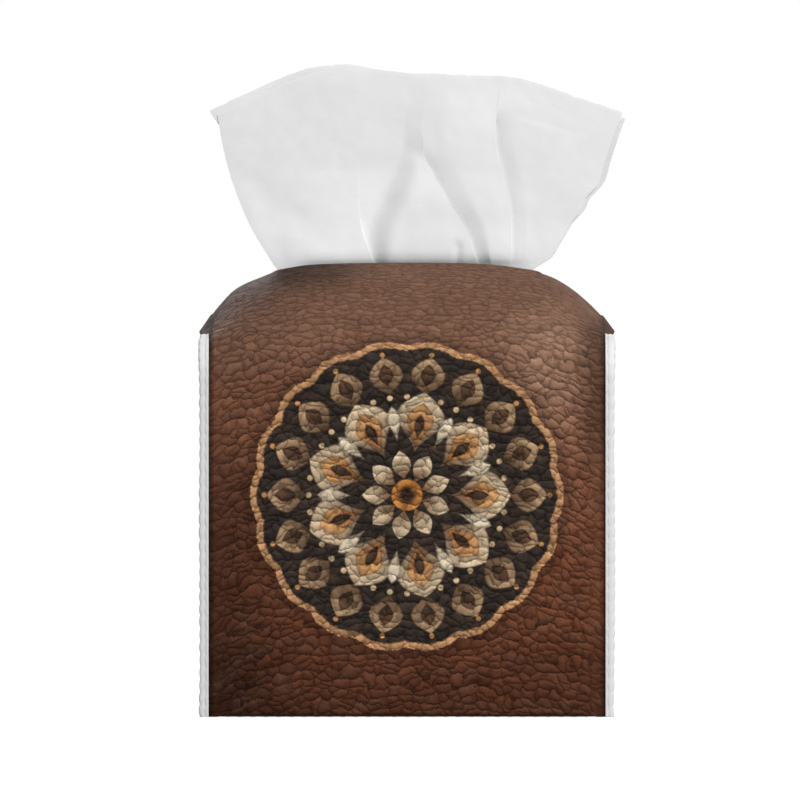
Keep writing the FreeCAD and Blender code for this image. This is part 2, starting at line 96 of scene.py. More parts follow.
def curve(points):
    """A smooth interpolating function through (position, value) pairs, without overshoot."""
    x, y = np.array(points, float).T
    step = np.diff(y) / np.diff(x)
    slope = np.zeros(len(x))
    same = step[:-1] * step[1:] > 0
    slope[1:-1] = np.where(same, 2 * step[:-1] * step[1:] / (step[:-1] + step[1:] + 1e-12), 0)
    slope[0], slope[-1] = step[0], step[-1]

    def value(at):
        at = np.clip(np.asarray(at, float), x[0], x[-1])
        i = np.clip(np.searchsorted(x, at) - 1, 0, len(x) - 2)
        w = x[i + 1] - x[i]
        t = (at - x[i]) / w
        return (
            y[i] * (1 + 2 * t) * (1 - t) ** 2
            + slope[i] * w * t * (1 - t) ** 2
            + y[i + 1] * t * t * (3 - 2 * t)
            + slope[i + 1] * w * t * t * (t - 1)
        )

    return value


def blur(values, times):
    """Softens a grid of values along both of its directions."""
    for _ in range(times):
        for axis in (0, 1):
            width = [(1, 1) if k == axis else (0, 0) for k in (0, 1)]
            padded = np.pad(values, width, mode="edge")
            n = values.shape[axis]
            values = sum(
                np.take(padded, range(k, n + k), axis) * share
                for k, share in ((0, 0.25), (1, 0.5), (2, 0.25))
            )
    return values


def grid(*parts):
    """Points or values from coordinates given as numbers and as arrays that fit together."""
    return np.stack(np.broadcast_arrays(*(np.asarray(p, float) for p in parts)), axis=-1)


def circle(sides):
    """Evenly spread angles of a ring."""
    return np.linspace(0, 2 * math.pi, sides, endpoint=False)


def mirrored(inwards, half):
    """Places from -half to half, given their distances from the edge up to the middle."""
    return np.concatenate([inwards - half, half - inwards[-2::-1]])


def run_along(path):
    """Distance run at each point of a path."""
    return np.concatenate([[0.0], np.cumsum(np.linalg.norm(np.diff(path, axis=0), axis=1))])


def quads(index, flip=False):
    """Faces of a grid of vertex numbers."""
    a, b, c, d = index[:-1, :-1], index[:-1, 1:], index[1:, 1:], index[1:, :-1]
    order = (a, d, c, b) if flip else (a, b, c, d)
    return np.stack([x.ravel() for x in order], axis=1)


def strip(first, second, flip=False):
    """Faces between two rows of vertex numbers."""
    return quads(np.stack([first, second]), flip)


class Builder:
    """Collects points, faces and per-point attributes of one mesh."""

    def __init__(self):
        self.points, self.faces, self.slots, self.flat, self.extra = [], [], [], [], {}
        self.count = 0

    def add(self, points, **extra):
        """Adds points of any grid shape and returns their numbers in that shape."""
        shape = points.shape[:-1]
        number = int(np.prod(shape))
        self.points.append(points.reshape(-1, 3))
        for key, value in extra.items():
            full = np.broadcast_to(value, shape + value.shape[-1:]).reshape(number, -1)
            self.extra.setdefault(key, []).append((self.count, full))
        index = np.arange(self.count, self.count + number).reshape(shape)
        self.count += number
        return index

    def face(self, faces, slot=0, flat=False):
        """Adds faces. Those marked flat meet their neighbours in a sharp edge."""
        self.faces.append(faces)
        self.slots.append(np.full(len(faces), slot, np.int32))
        self.flat.append(np.broadcast_to(flat, len(faces)))

    def shell(self, outer, inner, slots=(0, 0, 0), sharp=(), **extra):
        """A closed sheet between two grids of points, with sharp folds after some columns.

        The slots are those of its outer face, inner face and rim."""
        a, b = self.add(outer, **extra), self.add(inner, **extra)
        flat = np.zeros((a.shape[0] - 1, a.shape[1] - 1), bool)
        flat[:, list(sharp)] = True
        self.face(quads(a), slots[0], flat.ravel())
        self.face(quads(b, True), slots[1], flat.ravel())
        for p, q, flip in (
            (a[0], b[0], True), (a[-1], b[-1], False),
            (a[:, 0], b[:, 0], False), (a[:, -1], b[:, -1], True),
        ):
            self.face(strip(p, q, flip), slots[2], True)

    def build(self, name, materials, closed=True):
        """Makes the object. A closed one has all its faces turned outwards."""
        points = np.concatenate(self.points) * MM
        faces = [f for group in self.faces for f in group.tolist()]
        mesh = bpy.data.meshes.new(name)
        mesh.from_pydata(points.tolist(), [], faces)
        for m in materials:
            mesh.materials.append(m)
        mesh.polygons.foreach_set("material_index", np.concatenate(self.slots))
        mesh.polygons.foreach_set("use_smooth", ~np.concatenate(self.flat))
        for key, parts in self.extra.items():
            full = np.zeros((self.count, 3))
            for start, value in parts:
                full[start:start + len(value), :value.shape[1]] = value
            layer = mesh.attributes.new(key, "FLOAT_VECTOR", "POINT")
            layer.data.foreach_set("vector", full.ravel())
        mesh.validate()
        if closed:
            solid = bmesh.new()
            solid.from_mesh(mesh)
            bmesh.ops.recalc_face_normals(solid, faces=solid.faces)
            solid.to_mesh(mesh)
            solid.free()
        mesh.update()
        thing = bpy.data.objects.new(name, mesh)
        bpy.context.scene.collection.objects.link(thing)
        return thing


# A direction that no rod runs along.
ASIDE = (0.31, 0.52, 0.79)


def tube(builder, path, radius, sides=8, slot=0, **extra):
    """A round rod with closed ends along a list of points, with a radius at each."""
    ahead = np.gradient(path, axis=0)
    ahead /= np.linalg.norm(ahead, axis=1, keepdims=True)
    side = np.cross(ahead, ASIDE)
    side /= np.linalg.norm(side, axis=1, keepdims=True)
    up = np.cross(ahead, side)
    turn = circle(sides)[:, None]
    around = np.cos(turn) * side[:, None] + np.sin(turn) * up[:, None]
    index = builder.add(path[:, None] + radius[:, None, None] * around, **extra)
    builder.face(quads(np.concatenate([index, index[:, :1]], axis=1), True), slot)
    for row in (index[0], index[-1][::-1]):
        for k in range(1, sides - 2, 2):
            builder.face(row[[0, k, k + 1, k + 2]][None], slot)


def place_piece(thing, body, node):
    """Puts a piece on its body, in the place of its solid, which it hides."""
    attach(thing, body)
    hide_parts(node)
    return thing


# Materials

def combine(operation, swapped=False):
    """An operator that joins a wire to another wire or a number with one math node."""
    def method(self, other):
        pair = (other, self) if swapped else (self, other)
        return self.net.math(operation, *pair)
    return method


class Wire:
    """A node's output that plain arithmetic can combine."""

    def __init__(self, net, socket):
        self.net, self.socket = net, socket

    __add__, __radd__ = combine("ADD"), combine("ADD", True)
    __sub__, __rsub__ = combine("SUBTRACT"), combine("SUBTRACT", True)
    __mul__, __rmul__ = combine("MULTIPLY"), combine("MULTIPLY", True)
    __truediv__, __pow__ = combine("DIVIDE"), combine("POWER")


class Net:
    """One procedural material."""

    def __init__(self, name, rough, specular, sheen=0.0):
        self.material = bpy.data.materials.new(name)
        self.material.use_nodes = True
        self.tree = self.material.node_tree
        self.shader = self.tree.nodes["Principled BSDF"]
        self.shader.inputs["Roughness"].default_value = rough
        self.shader.inputs["Specular IOR Level"].default_value = specular
        self.shader.inputs["Sheen Weight"].default_value = sheen

    def put(self, socket, value):
        if isinstance(value, Wire):
            self.tree.links.new(value.socket, socket)
        else:
            socket.default_value = value

    def node(self, kind, values=(), **settings):
        """A new node, with its inputs set or linked by number or name."""
        made = self.tree.nodes.new("ShaderNode" + kind)
        for key, value in settings.items():
            setattr(made, key, value)
        for key, value in dict(values).items():
            self.put(made.inputs[key], value)
        return made

    def wire(self, kind, values=(), output=0, **settings):
        """One output of a new node."""
        return Wire(self, self.node(kind, values, **settings).outputs[output])

    def math(self, operation, a, b=0.0):
        return self.wire("Math", enumerate((a, b)), operation=operation)

    def ripple(self, value):
        """A sine wave from 0 to 1."""
        return self.math("SINE", value) * 0.5 + 0.5

    def attribute(self, name):
        return self.wire("Attribute", output="Vector", attribute_name=name)

    def split(self, vector):
        made = self.node("SeparateXYZ", {0: vector})
        return [Wire(self, made.outputs[k]) for k in range(3)]

    def join(self, x, y):
        return self.wire("CombineXYZ", enumerate((x, y)))

    def noise(self, vector, scale, detail=2.0, rough=0.5):
        return self.wire("TexNoise", {
            "Vector": vector, "Scale": scale, "Detail": detail, "Roughness": rough,
        })

    def cells(self, vector, feature):
        return self.node(
            "TexVoronoi", {"Vector": vector, "Scale": 1.0, "Randomness": 0.9},
            feature=feature, voronoi_dimensions="2D",
        )

    def cell_edge(self, vector):
        """Distance from the nearest border between cells."""
        return Wire(self, self.cells(vector, "DISTANCE_TO_EDGE").outputs["Distance"])

    def ease(self, value, low, high, start=0.0, end=1.0):
        values = enumerate((value, low, high, start, end))
        return self.wire("MapRange", values, interpolation_type="SMOOTHSTEP")

    def mix(self, share, a, b):
        return self.wire("Mix", {0: share, 6: a, 7: b}, 2, data_type="RGBA")

    def ramp(self, value, stops):
        made = self.node("ValToRGB", {0: value})
        made.color_ramp.interpolation = "EASE"
        while len(made.color_ramp.elements) < len(stops):
            made.color_ramp.elements.new(0.5)
        for element, (position, colour) in zip(made.color_ramp.elements, stops):
            element.position = position
            element.color = colour
        return Wire(self, made.outputs[0])

    def tint(self, colour, factor):
        """The colour made lighter or darker by a varying factor."""
        return self.wire("VectorMath", {0: colour, "Scale": factor}, operation="SCALE")

    def finish(self, colour, height, depth_mm, rough=None, strength=1.0):
        """Joins colour, relief and roughness to the shader."""
        relief = {"Strength": strength, "Distance": depth_mm * MM, "Height": height}
        self.put(self.shader.inputs["Base Color"], colour)
        self.put(self.shader.inputs["Normal"], self.wire("Bump", relief))
        if rough is not None:
            self.put(self.shader.inputs["Roughness"], rough)
        return self.material


def rgb(r, g, b):
    """A colour given as it looks on screen, 0 to 255."""
    def linear(c):
        c /= 255.0
        return c / 12.92 if c <= 0.04045 else ((c + 0.055) / 1.055) ** 2.4
    return (linear(r), linear(g), linear(b), 1.0)


# Rosette on the front: rings of petals from the rim inwards, each with its number of petals,
# inner and outer radius, width, lean towards the tip, turn, and colours at its foot and tip.
MEDALLION_LEVEL = 73.0
RIM_RADIUS = 48.2
PETAL_RINGS = (
    (18, 33.0, 46.5, 0.86, 1.0, 0.0, rgb(92, 70, 52), rgb(172, 140, 108)),
    (18, 36.0, 44.0, 0.40, 1.0, 0.0, rgb(56, 42, 33), rgb(92, 66, 48)),
    (9, 13.0, 34.5, 0.92, 1.35, 0.0, rgb(104, 78, 56), rgb(206, 182, 150)),
    (9, 16.0, 31.0, 0.56, 1.3, 0.0, rgb(150, 96, 54), rgb(196, 146, 96)),
    (9, 18.0, 27.5, 0.26, 1.2, 0.0, rgb(52, 40, 33), rgb(74, 56, 44)),
    (9, 16.0, 30.0, 0.30, 1.6, math.pi / 9, rgb(178, 158, 132), rgb(224, 206, 178)),
    (9, 5.0, 15.0, 0.95, 0.9, math.pi / 9, rgb(122, 92, 66), rgb(214, 190, 158)),
)
# Rings of beads: number, radius of the ring, size of a bead and colour.
BEAD_RINGS = (
    (36, 32.4, 0.95, rgb(206, 176, 138)),
    (18, 47.0, 0.85, rgb(186, 132, 82)),
)


def petals(net, radius, angle, count, low, high, share, lean):
    """Rays of pointed petals: how far a place is inside one, its edge and its way to the tip."""
    turn = net.math("FRACT", angle * (count / (2 * math.pi)) + 0.5)
    aside = net.math("ABSOLUTE", turn - 0.5) * 2.0
    along = (radius - low) / (high - low)
    inside = net.math("MINIMUM", net.math("MAXIMUM", along, 0.0), 1.0)
    edge = net.math("SINE", (inside ** lean) * math.pi) * share - aside
    return net.ease(edge, 0.0, 0.10), edge, along


def medallion(net, x, z, ground):
    """A plain rosette of petals and beads on a dark round field with a worn tan rim."""
    radius = net.math("SQRT", x * x + z * z)
    angle = net.math("ARCTAN2", z, x)
    worn = net.noise(net.join(x, z), 0.45, 4.0, 0.65)
    scallop = net.math("ABSOLUTE", net.math("COSINE", angle * 9.0)) * 1.7
    rim = scallop + RIM_RADIUS + (worn - 0.5) * 2.2
    colour = net.tint(ground, net.ease(radius - rim, 2.2, 7.0, 0.62, 1.0))
    tan = net.mix(worn, rgb(150, 98, 58), rgb(214, 168, 124))
    colour = net.mix(net.ease(rim - radius, -2.0, -1.5), colour, tan)
    dark = net.mix(worn, rgb(30, 25, 22), rgb(58, 50, 45))
    colour = net.mix(net.ease(rim - radius, 0.0, 0.8), colour, dark)
    for count, low, high, share, lean, shift, deep, pale in PETAL_RINGS:
        inside, edge, along = petals(net, radius, angle + shift, count, low, high, share, lean)
        body = net.mix(net.ease(along, 0.05, 0.95), deep, pale)
        line = net.ease(edge, 0.02, 0.16, 0.35, 1.0)
        colour = net.mix(inside, colour, net.tint(body, line))
    for count, at, size, paint in BEAD_RINGS:
        turn = net.math("FRACT", angle * (count / (2 * math.pi)) + 0.5) - 0.5
        across = turn * (2 * math.pi * at / count)
        out = radius - at
        far = net.math("SQRT", across * across + out * out)
        colour = net.mix(net.ease(size - far, -0.2, 0.25), colour, paint)
    heart = net.mix(net.ease(radius, 1.5, 4.6), rgb(46, 34, 27), rgb(186, 122, 62))
    return net.mix(net.ease(5.4 - radius, 0.0, 0.6), colour, heart)


PEBBLE_WIDTH = 4.2
PEBBLE_HEIGHT = 2.7
PAINTED_HIGHLIGHT_LEVEL = 116.0
# Plain leather's place across is drawn in by this, clear of the shade beside the seams.
PLAIN_SPREAD = 0.8


def painted_light_and_medallion(net, x, z, side, tone):
    """Painted highlight and painted shade on the band, and the medallion print on its front."""
    # Painted highlight: a soft pale patch high up on the right of the front.
    dx, dz = (x - 47.0) / 16.0, (z - PAINTED_HIGHLIGHT_LEVEL) / 26.0
    glow = net.math("EXPONENT", (dx * dx + dz * dz) * -1.0) * side
    tone = net.mix(glow * 0.55, tone, rgb(166, 130, 108))
    # Painted shade: darker on the left, along the right edge near the top and on the crown's top
    # left.
    away = net.math("ABSOLUTE", z - PAINTED_HIGHLIGHT_LEVEL)
    left = net.ease(x, -62.0, -26.0, 1.0, 0.0) * net.ease(away, 12.0, 44.0, 0.34, 1.0)
    right = net.ease(x, 53.0, 62.0) * net.ease(away, 16.0, 44.0, 1.0, 0.0)
    top_left_shade = net.ease(x, -60.0, -38.0, 0.1, 1.0) * net.ease(x, -32.0, -4.0, 1.0, 0.0)
    top_left_shade = top_left_shade * net.ease(z, 140.0, 172.0)
    tone = net.tint(tone, (1.0 - left * 0.58 - right * 0.52) * (1.0 - top_left_shade * 0.70))
    art = medallion(net, x, z - MEDALLION_LEVEL, tone)
    return net.mix(net.ease(side, 0.4, 0.6), tone, art)


def leather(name, printed):
    """Pebbled brown leather look with painted light and painted shade on its pebbles. The printed
    one carries the medallion on the front, and a painted highlight and painted shade on the band.

    The meshes' grain attribute is the place on the flat leather, and their place attribute
    the distance across, the height run and 1 on the front."""
    net = Net(name, rough=0.7, specular=0.05)
    grain = net.attribute("grain")
    gx, gs, _ = net.split(grain)
    x, z, side = net.split(net.attribute("place"))

    def bent(length, size, vector, broad, narrow):
        """Cell coordinate that wanders, so that the pebbles differ in size and direction."""
        wander = net.noise(vector, broad, 2.0) * 2.4
        return length / size + wander + net.noise(vector, narrow, 3.0, 0.6) * 0.85

    cell_x = bent(gx, PEBBLE_WIDTH, grain, 0.10, 0.50)
    cell_s = bent(gs, PEBBLE_HEIGHT, net.join(gs, gx), 0.11, 0.55)
    spot = net.join(cell_x, cell_s)
    edge = net.cell_edge(spot)
    crease = net.ease(edge, -0.03, 0.17)
    above = net.ease(net.cell_edge(net.join(cell_x, cell_s + 0.17)), -0.03, 0.17)
    pebble = net.ease(edge, 0.0, 0.45)
    nearest = net.cells(spot, "F1")
    own, own2, _ = net.split(Wire(net, nearest.outputs["Color"]))
    upper = cell_s - net.split(Wire(net, nearest.outputs["Position"]))[1]
    small = net.join(cell_x * 2.3 + 7.0, cell_s * 2.1)
    pores = net.ease(net.cell_edge(small), 0.0, 0.22)
    fine = net.noise(grain, 1.5, 4.0, 0.6)
    dust = net.noise(grain, 3.4, 2.0, 0.6)
    broad = net.noise(grain, 0.045, 3.0, 0.55)
    faint = net.noise(grain, 0.21, 2.0)
    patch = net.noise(net.join(gx * 0.6, gs), 0.14, 4.0, 0.62)
    # Darker towards the base, paler over the top.
    tone = net.ramp(z / 190.0 + (broad - 0.5) * 0.20, (
        (0.00, rgb(78, 44, 29)),
        (0.24, rgb(108, 64, 44)),
        (0.48, rgb(124, 80, 59)),
        (0.70, rgb(118, 85, 68)),
        (1.00, rgb(112, 81, 65)),
    ))
    if printed:
        tone = painted_light_and_medallion(net, x, z, side, tone)
    worn = net.mix(0.5, tone, rgb(82, 60, 49))
    tone = net.mix(net.ease(patch, 0.42, 0.66, 0.0, 0.6), tone, worn)
    # The painted shade in the creases and the painted light on the pebbles are calmer on the crown
    # and beside the seams.
    rims = net.math("ABSOLUTE", x)
    crown = net.math("MAXIMUM", net.ease(z, 90.0, 160.0), net.ease(rims, 57.5, 63.0, 0.0, 0.9))
    deep = net.ease(faint, 0.32, 0.66, 0.12, 0.38) * (1.0 - crown * 0.62)
    # Painted shade in the creases between pebbles, with the pebbles' middles a little lighter.
    relief = (1.0 - (1.0 - crease) * deep) * (pebble * 0.22 + 0.84)
    # Painted light on each pebble: lighter on its upper part and top rim, darker at its lower rim,
    # as if lit from above.
    lit = upper * (0.66 - crown * 0.40) + (crease - above) * (0.26 - crown * 0.14) + 1.0
    vein = net.math("ABSOLUTE", net.noise(net.join(gx + gs * 0.4, gs * 0.6), 0.075, 2.0) - 0.5)
    scuff = net.ease(vein, 0.0, 0.010, 1.22, 1.0)
    speckle = fine * 0.44 + dust * 0.62 + 0.49
    factor = relief * lit * (own * 0.22 + 0.90) * (pores * 0.12 + 0.91)
    factor = factor * speckle * scuff * (patch * 0.50 + 0.76)
    if printed:
        # Painted shade on the band beside the side seams.
        factor = factor * net.ease(rims, 62.9, 65.0, 1.0, 0.45)
    height = pebble * 0.6 + crease * 0.25 + pores * 0.12 + fine * 0.12 + own2 * 0.12
    rough = net.ease(crease, 0.0, 1.0, 0.80, 0.62) + (fine - 0.5) * 0.18
    return net.finish(net.tint(tone, factor), height, 0.34, rough, strength=0.7)


def backing_cloth():
    """Knitted backing on the inside of the leather look."""
    net = Net("backing_cloth", rough=0.95, specular=0.1)
    gx, gs, _ = net.split(net.attribute("grain"))
    loop = net.ripple(gs * 7.0 + net.math("SINE", gx * 9.0))
    fuzz = net.noise(net.join(gx, gs), 1.2, 3.0)
    knit = net.ripple(gx * 9.0) * loop
    colour = net.mix(knit * 0.6 + fuzz * 0.4, rgb(104, 96, 88), rgb(160, 152, 142))
    return net.finish(colour, knit, 0.2)


def cut_edge():
    """Dark painted edge of the cut leather look."""
    net = Net("cut_edge", rough=0.6, specular=0.2)
    fuzz = net.noise(net.attribute("grain"), 1.8, 4.0, 0.65)
    colour = net.mix(fuzz, rgb(34, 22, 17), rgb(74, 52, 42))
    return net.finish(colour, fuzz, 0.12, fuzz * 0.3 + 0.5)


def white_tape():
    """White woven binding tape, with painted shade in the stitch hollows."""
    net = Net("white_tape", rough=0.85, specular=0.15, sheen=0.15)
    along, across, hollow_shade = net.split(net.attribute("grain"))
    warp, weft = net.ripple(along * 16.0), net.ripple(across * 18.0)
    weave = net.math("MAXIMUM", warp * weft, (1.0 - warp) * (1.0 - weft))
    fuzz = net.noise(net.join(along, across), 1.1, 3.0)
    pale = net.mix(fuzz, rgb(230, 230, 231), rgb(241, 241, 241))
    colour = net.tint(pale, (weave * 0.05 + 0.96) * net.ease(hollow_shade, 0.0, 1.0, 1.0, 0.84))
    return net.finish(colour, weave, 0.06)


def sewing_thread():
    """White twisted thread."""
    net = Net("sewing_thread", rough=0.6, specular=0.3, sheen=0.2)
    along, around, _ = net.split(net.attribute("grain"))
    twist = net.ripple(along * 9.0 + around * 2.0)
    colour = net.mix(twist, rgb(196, 196, 196), rgb(240, 240, 240))
    return net.finish(colour, twist, 0.08)


def tissue_paper():
    """Soft white paper with a fine crepe."""
    net = Net("tissue_paper", rough=0.95, specular=0.08, sheen=0.1)
    grain = net.attribute("grain")
    across, along, _ = net.split(grain)
    crepe = net.noise(net.join(across * 0.35, along * 1.6), 1.0, 3.0, 0.6)
    felt = net.noise(grain, 0.16, 3.0)
    dust = net.noise(grain, 2.4, 2.0)
    share = felt * 0.5 + dust * 0.2 + crepe * 0.3
    colour = net.mix(share, rgb(226, 226, 227), rgb(242, 242, 242))
    return net.finish(colour, crepe * 0.8 + dust * 0.3, 0.07, strength=0.6)


def nylon_tape(name, deep, pale, pitch):
    """Woven nylon ground of the hook and loop tapes."""
    net = Net(name, rough=0.55, specular=0.3)
    along, across, _ = net.split(net.attribute("grain"))
    weave = net.ripple(along * pitch) * net.ripple(across * pitch)
    fuzz = net.noise(net.join(along, across), 1.4, 3.0)
    return net.finish(net.mix(weave * 0.7 + fuzz * 0.3, deep, pale), weave, 0.12)


PRINTED = leather("printed_leather", True)
PLAIN = leather("plain_leather", False)
BACKING = backing_cloth()
CUT = cut_edge()
TAPE = white_tape()
THREAD = sewing_thread()
PAPER = tissue_paper()
HOOKS = nylon_tape("hook_nylon", rgb(34, 26, 22), rgb(72, 58, 50), 5.0)
LOOPS = nylon_tape("loop_nylon", rgb(48, 38, 32), rgb(92, 76, 66), 4.0)


# Arch of the cover

def arch(share):
    """Corner radius, crown radius, crown centre and tangent angle for a share of the dome."""
    corner = SHOULDER_RADIUS + CROWN_ROUNDING * share
    rise = SHOULDER_RISE + CROWN_RISE * share
    reach = HALF_DEPTH - corner
    crown = (reach ** 2 + rise ** 2 - corner ** 2) / (2.0 * (rise - corner))
    centre = SPRING + rise - crown
    return corner, crown, centre, np.arctan2(SPRING - centre, reach)


# Height of the top seen from the front: it rolls over the side seams and rises to the ridge.
DOME = curve((
    (-68.9, 125.8), (-65.2, 131.3), (-63.4, 134.0), (-56.3, 141.2), (-47.7, 145.0),
    (-41.8, 147.1), (-31.9, 148.8), (-16.0, 149.35), (0.0, 149.5), (16.0, 149.4), (26.0, 149.0),
    (40.5, 147.1), (48.0, 144.8), (54.3, 141.2), (60.9, 135.7), (64.9, 131.4), (69.1, 125.8),
))


# Place across from which the band's edges spread at the ridge, and by what share.
FLARE_START = 66.0
FLARE = 0.58


def flared(x, share=1.0):
    """Place across of the band's edges, which reach a little over the tape at the ridge."""
    return x + np.sign(x) * np.clip(np.abs(x) - FLARE_START, 0, None) * FLARE * share


def dome_share(x):
    """How much of the crown's rise the dome has at each x."""
    return (DOME(flared(x)) - SPRING - SHOULDER_RISE) / CROWN_RISE + 0.02


def slot_half(x):
    """Half the slot's opening at each x, which ends in two half circles."""
    past = np.clip(np.abs(x) - (SLOT_HALF_LENGTH - SLOT_HALF_WIDTH), 0, SLOT_HALF_WIDTH)
    half = np.sqrt(np.maximum(SLOT_HALF_WIDTH ** 2 - past ** 2, 0))
    return np.where(np.abs(x) < SLOT_HALF_LENGTH, half, 0.0)


def half_band(x, rows, inset, flat=False):
    """Front half of the band from the base to the slot, in rows on wall, corner and crown.

    Gives y, z, the arc length and its total to the ridge. A flat one has no dome."""
    corner, crown, centre, tangent = arch(0.0 * x if flat else dome_share(x))
    wall, turn, top = (q[:, None] for q in rows)
    base = 0.75 * (1.0 - smooth(57.5, 63.0, np.abs(x)))
    height = base + (SPRING - base) * wall
    bend = tangent * turn
    start = math.pi / 2 - tangent
    tip = start + (np.arcsin(slot_half(x) / crown) - start) * top
    y = np.concatenate([
        0.0 * height - (HALF_DEPTH - inset),
        -(HALF_DEPTH - corner) - (corner - inset) * np.cos(bend),
        -(crown - inset) * np.sin(tip),
    ])
    z = np.concatenate([
        height,
        SPRING + (corner - inset) * np.sin(bend),
        centre + (crown - inset) * np.cos(tip),
    ])
    shoulder = SPRING + corner * tangent
    length = np.concatenate([height, SPRING + corner * bend, shoulder + crown * (start - tip)])
    return y, z, length, shoulder + crown * start


def outer_band():
    """The printed band: front, domed top with the slot, back."""
    ends = SLOT_HALF_LENGTH - SLOT_HALF_WIDTH * (1 - np.cos(np.linspace(0, math.pi / 2, 9)))
    x = np.concatenate([
        np.arange(0, 36.0, 1.6), ends[::-1][:-1], np.arange(45.0, 62.0, 1.5),
        (62.5, 63.2, 63.8, 64.3, 64.7, 65.0, 65.3, 65.7, 66.3, 67.0, 67.8),
    ])
    x = np.concatenate([-x[:0:-1], x])
    away = np.abs(x)
    rows = np.linspace(0, 1, 109), np.linspace(0, 1, 17)[1:], np.linspace(0, 1, 55)[1:]
    wall, turn, top = rows
    # The level runs from 0 at the base to 1 at the slot: half wall, a fifth corner, then crown.
    level = np.concatenate([wall * 0.5, 0.5 + 0.2 * turn, 0.7 + 0.3 * top])[:, None]
    tangent = arch(dome_share(x))[3]
    tilt = np.where(level < 0.5, 0.0, np.where(
        level < 0.7, tangent * (level - 0.5) / 0.2,
        math.pi / 2 - (math.pi / 2 - tangent) * (1 - (level - 0.7) / 0.3),
    ))
    _, _, length, total = half_band(x, rows, 0.0)
    # Puckers at the stitches, a seam groove, the tuck under the tape and the front's bow.
    beat = np.sin(2 * math.pi * length / STITCH_PITCH + 1.7 * np.sign(x))
    pucker = 0.16 * beat * smooth(56.0, 64.0, away) * (1 - smooth(64.6, 65.2, away))
    groove = 0.35 * np.exp(-(((away - 64.8) / 0.45) ** 2)) * (1 - smooth(0.55, 0.75, level))
    tuck = 0.12 * smooth(65.0, 65.4, away) * (1 - smooth(0.52, 0.66, level))
    bow = 0.7 * (1 - (away / 66.0) ** 2) * np.sin(math.pi * np.clip(length / SPRING, 0, 1))
    sewn = pucker - groove - tuck + np.clip(bow, 0, None)
    lip = (1 - smooth(0.0, 7.0, (1 - level) * 180.0)) * smooth(0, 6, slot_half(x))
    is_open = slot_half(x) > 0
    builder = Builder()
    halves = []
    for back in (False, True):
        # Slack in the cloth, and pebbles that show along the top's outline.
        slack = 0.42 * noise2(x / 34.0 + 9 * back, length / 30.0, 5)
        slack = slack + 0.16 * noise2(x / 9.0, length / 8.0 + 40 * back, 6)
        slack = slack * smooth(0.0, 6.0, length) * (1 - smooth(58.0, 65.0, away))
        knobs = 0.16 * noise2(x / 3.4, length / 2.7 + 60 * back, 7) * smooth(0.5, 0.75, level)
        push = (sewn + slack + knobs) * smooth(1.0, 0.955, level)
        ahead = length - total
        looks = {
            "grain": grid(x, -ahead if back else ahead), "place": grid(x, length, 1.0 - back),
        }
        layers = []
        for inset in (0.0, LEATHER - 0.85 * smooth(65.4, 67.8, away)):
            y, z, _, _ = half_band(x, rows, inset)
            y, z = y - push * np.cos(tilt), z + push * np.sin(tilt)
            # Along the seam the leather lies under the tape and rolls over it only on top,
            # where the lap ends in a slant.
            low_y, low_z, _, _ = half_band(x, rows, inset + 0.12, flat=True)
            hold = smooth(64.2, 65.2, away) * (1 - smooth(44.0, 18.0, np.abs(y)))
            y, z = y + (low_y - y) * hold, z + (low_z - z) * hold
            slanted = np.abs(y) + 4.0 * (away - 67.0)
            z = z + 0.9 * smooth(64.3, 65.3, away) * smooth(LAP_END, 31.0, slanted)
            # The slot's lips stand up a little.
            z = z + 0.45 * lip
            wide = flared(x, smooth(44.0, 18.0, np.abs(y)))
            layers.append(builder.add(grid(wide, -y if back else y, z), **looks))
        a, b = layers
        halves.append(layers)
        builder.face(quads(a, back), 0)
        builder.face(quads(b, not back), 1)
        builder.face(strip(a[0], b[0], not back), 2)
        builder.face(strip(a[:, 0], b[:, 0], back), 2)
        builder.face(strip(a[:, -1], b[:, -1], not back), 2)
        for k in np.flatnonzero(is_open[:-1] | is_open[1:]):
            builder.face(strip(a[-1, k:k + 2], b[-1, k:k + 2], back), 2)
    # Beyond the slot's ends the two halves are one sheet.
    swap = np.arange(builder.count)
    for first, second in zip(*halves):
        swap[second[-1, ~is_open]] = first[-1, ~is_open]
    builder.faces = [swap[f] for f in builder.faces]
    return builder.build("outer_band_leather", [PRINTED, BACKING, CUT])


band = place_piece(outer_band(), "cover", "outer_band")


# Side panels

def seam_path(inset, step):
    """Points along the side seam from the front base over the top to the back base.

    Gives the distance run, y, z and the outward direction in y and z."""
    corner, crown, centre, tangent = arch(0.0)
    shoulder = SPRING + corner * tangent
    half = shoulder + crown * (math.pi / 2 - tangent)
    run = np.linspace(0, 2 * half, int(round(2 * half / step)) + 1)
    s = np.where(run <= half, run, 2 * half - run)
    bend = np.clip((s - SPRING) / corner, 0, tangent)
    tip = math.pi / 2 - tangent - np.clip((s - shoulder) / crown, 0, None)
    on_top = s > shoulder
    out_y = np.where(on_top, -np.sin(tip), -np.cos(bend))
    out_z = np.where(on_top, np.cos(tip), np.sin(bend))
    y = np.where(on_top, crown * out_y, -(HALF_DEPTH - corner) + corner * out_y)
    side_z = np.where(s < SPRING, s, SPRING + corner * out_z)
    z = np.where(on_top, centre + crown * out_z, side_z)
    y, z = y - inset * out_y, z - inset * out_z
    flip = np.where(run <= half, 1.0, -1.0)
    return run, y * flip, z, out_y * flip, out_z


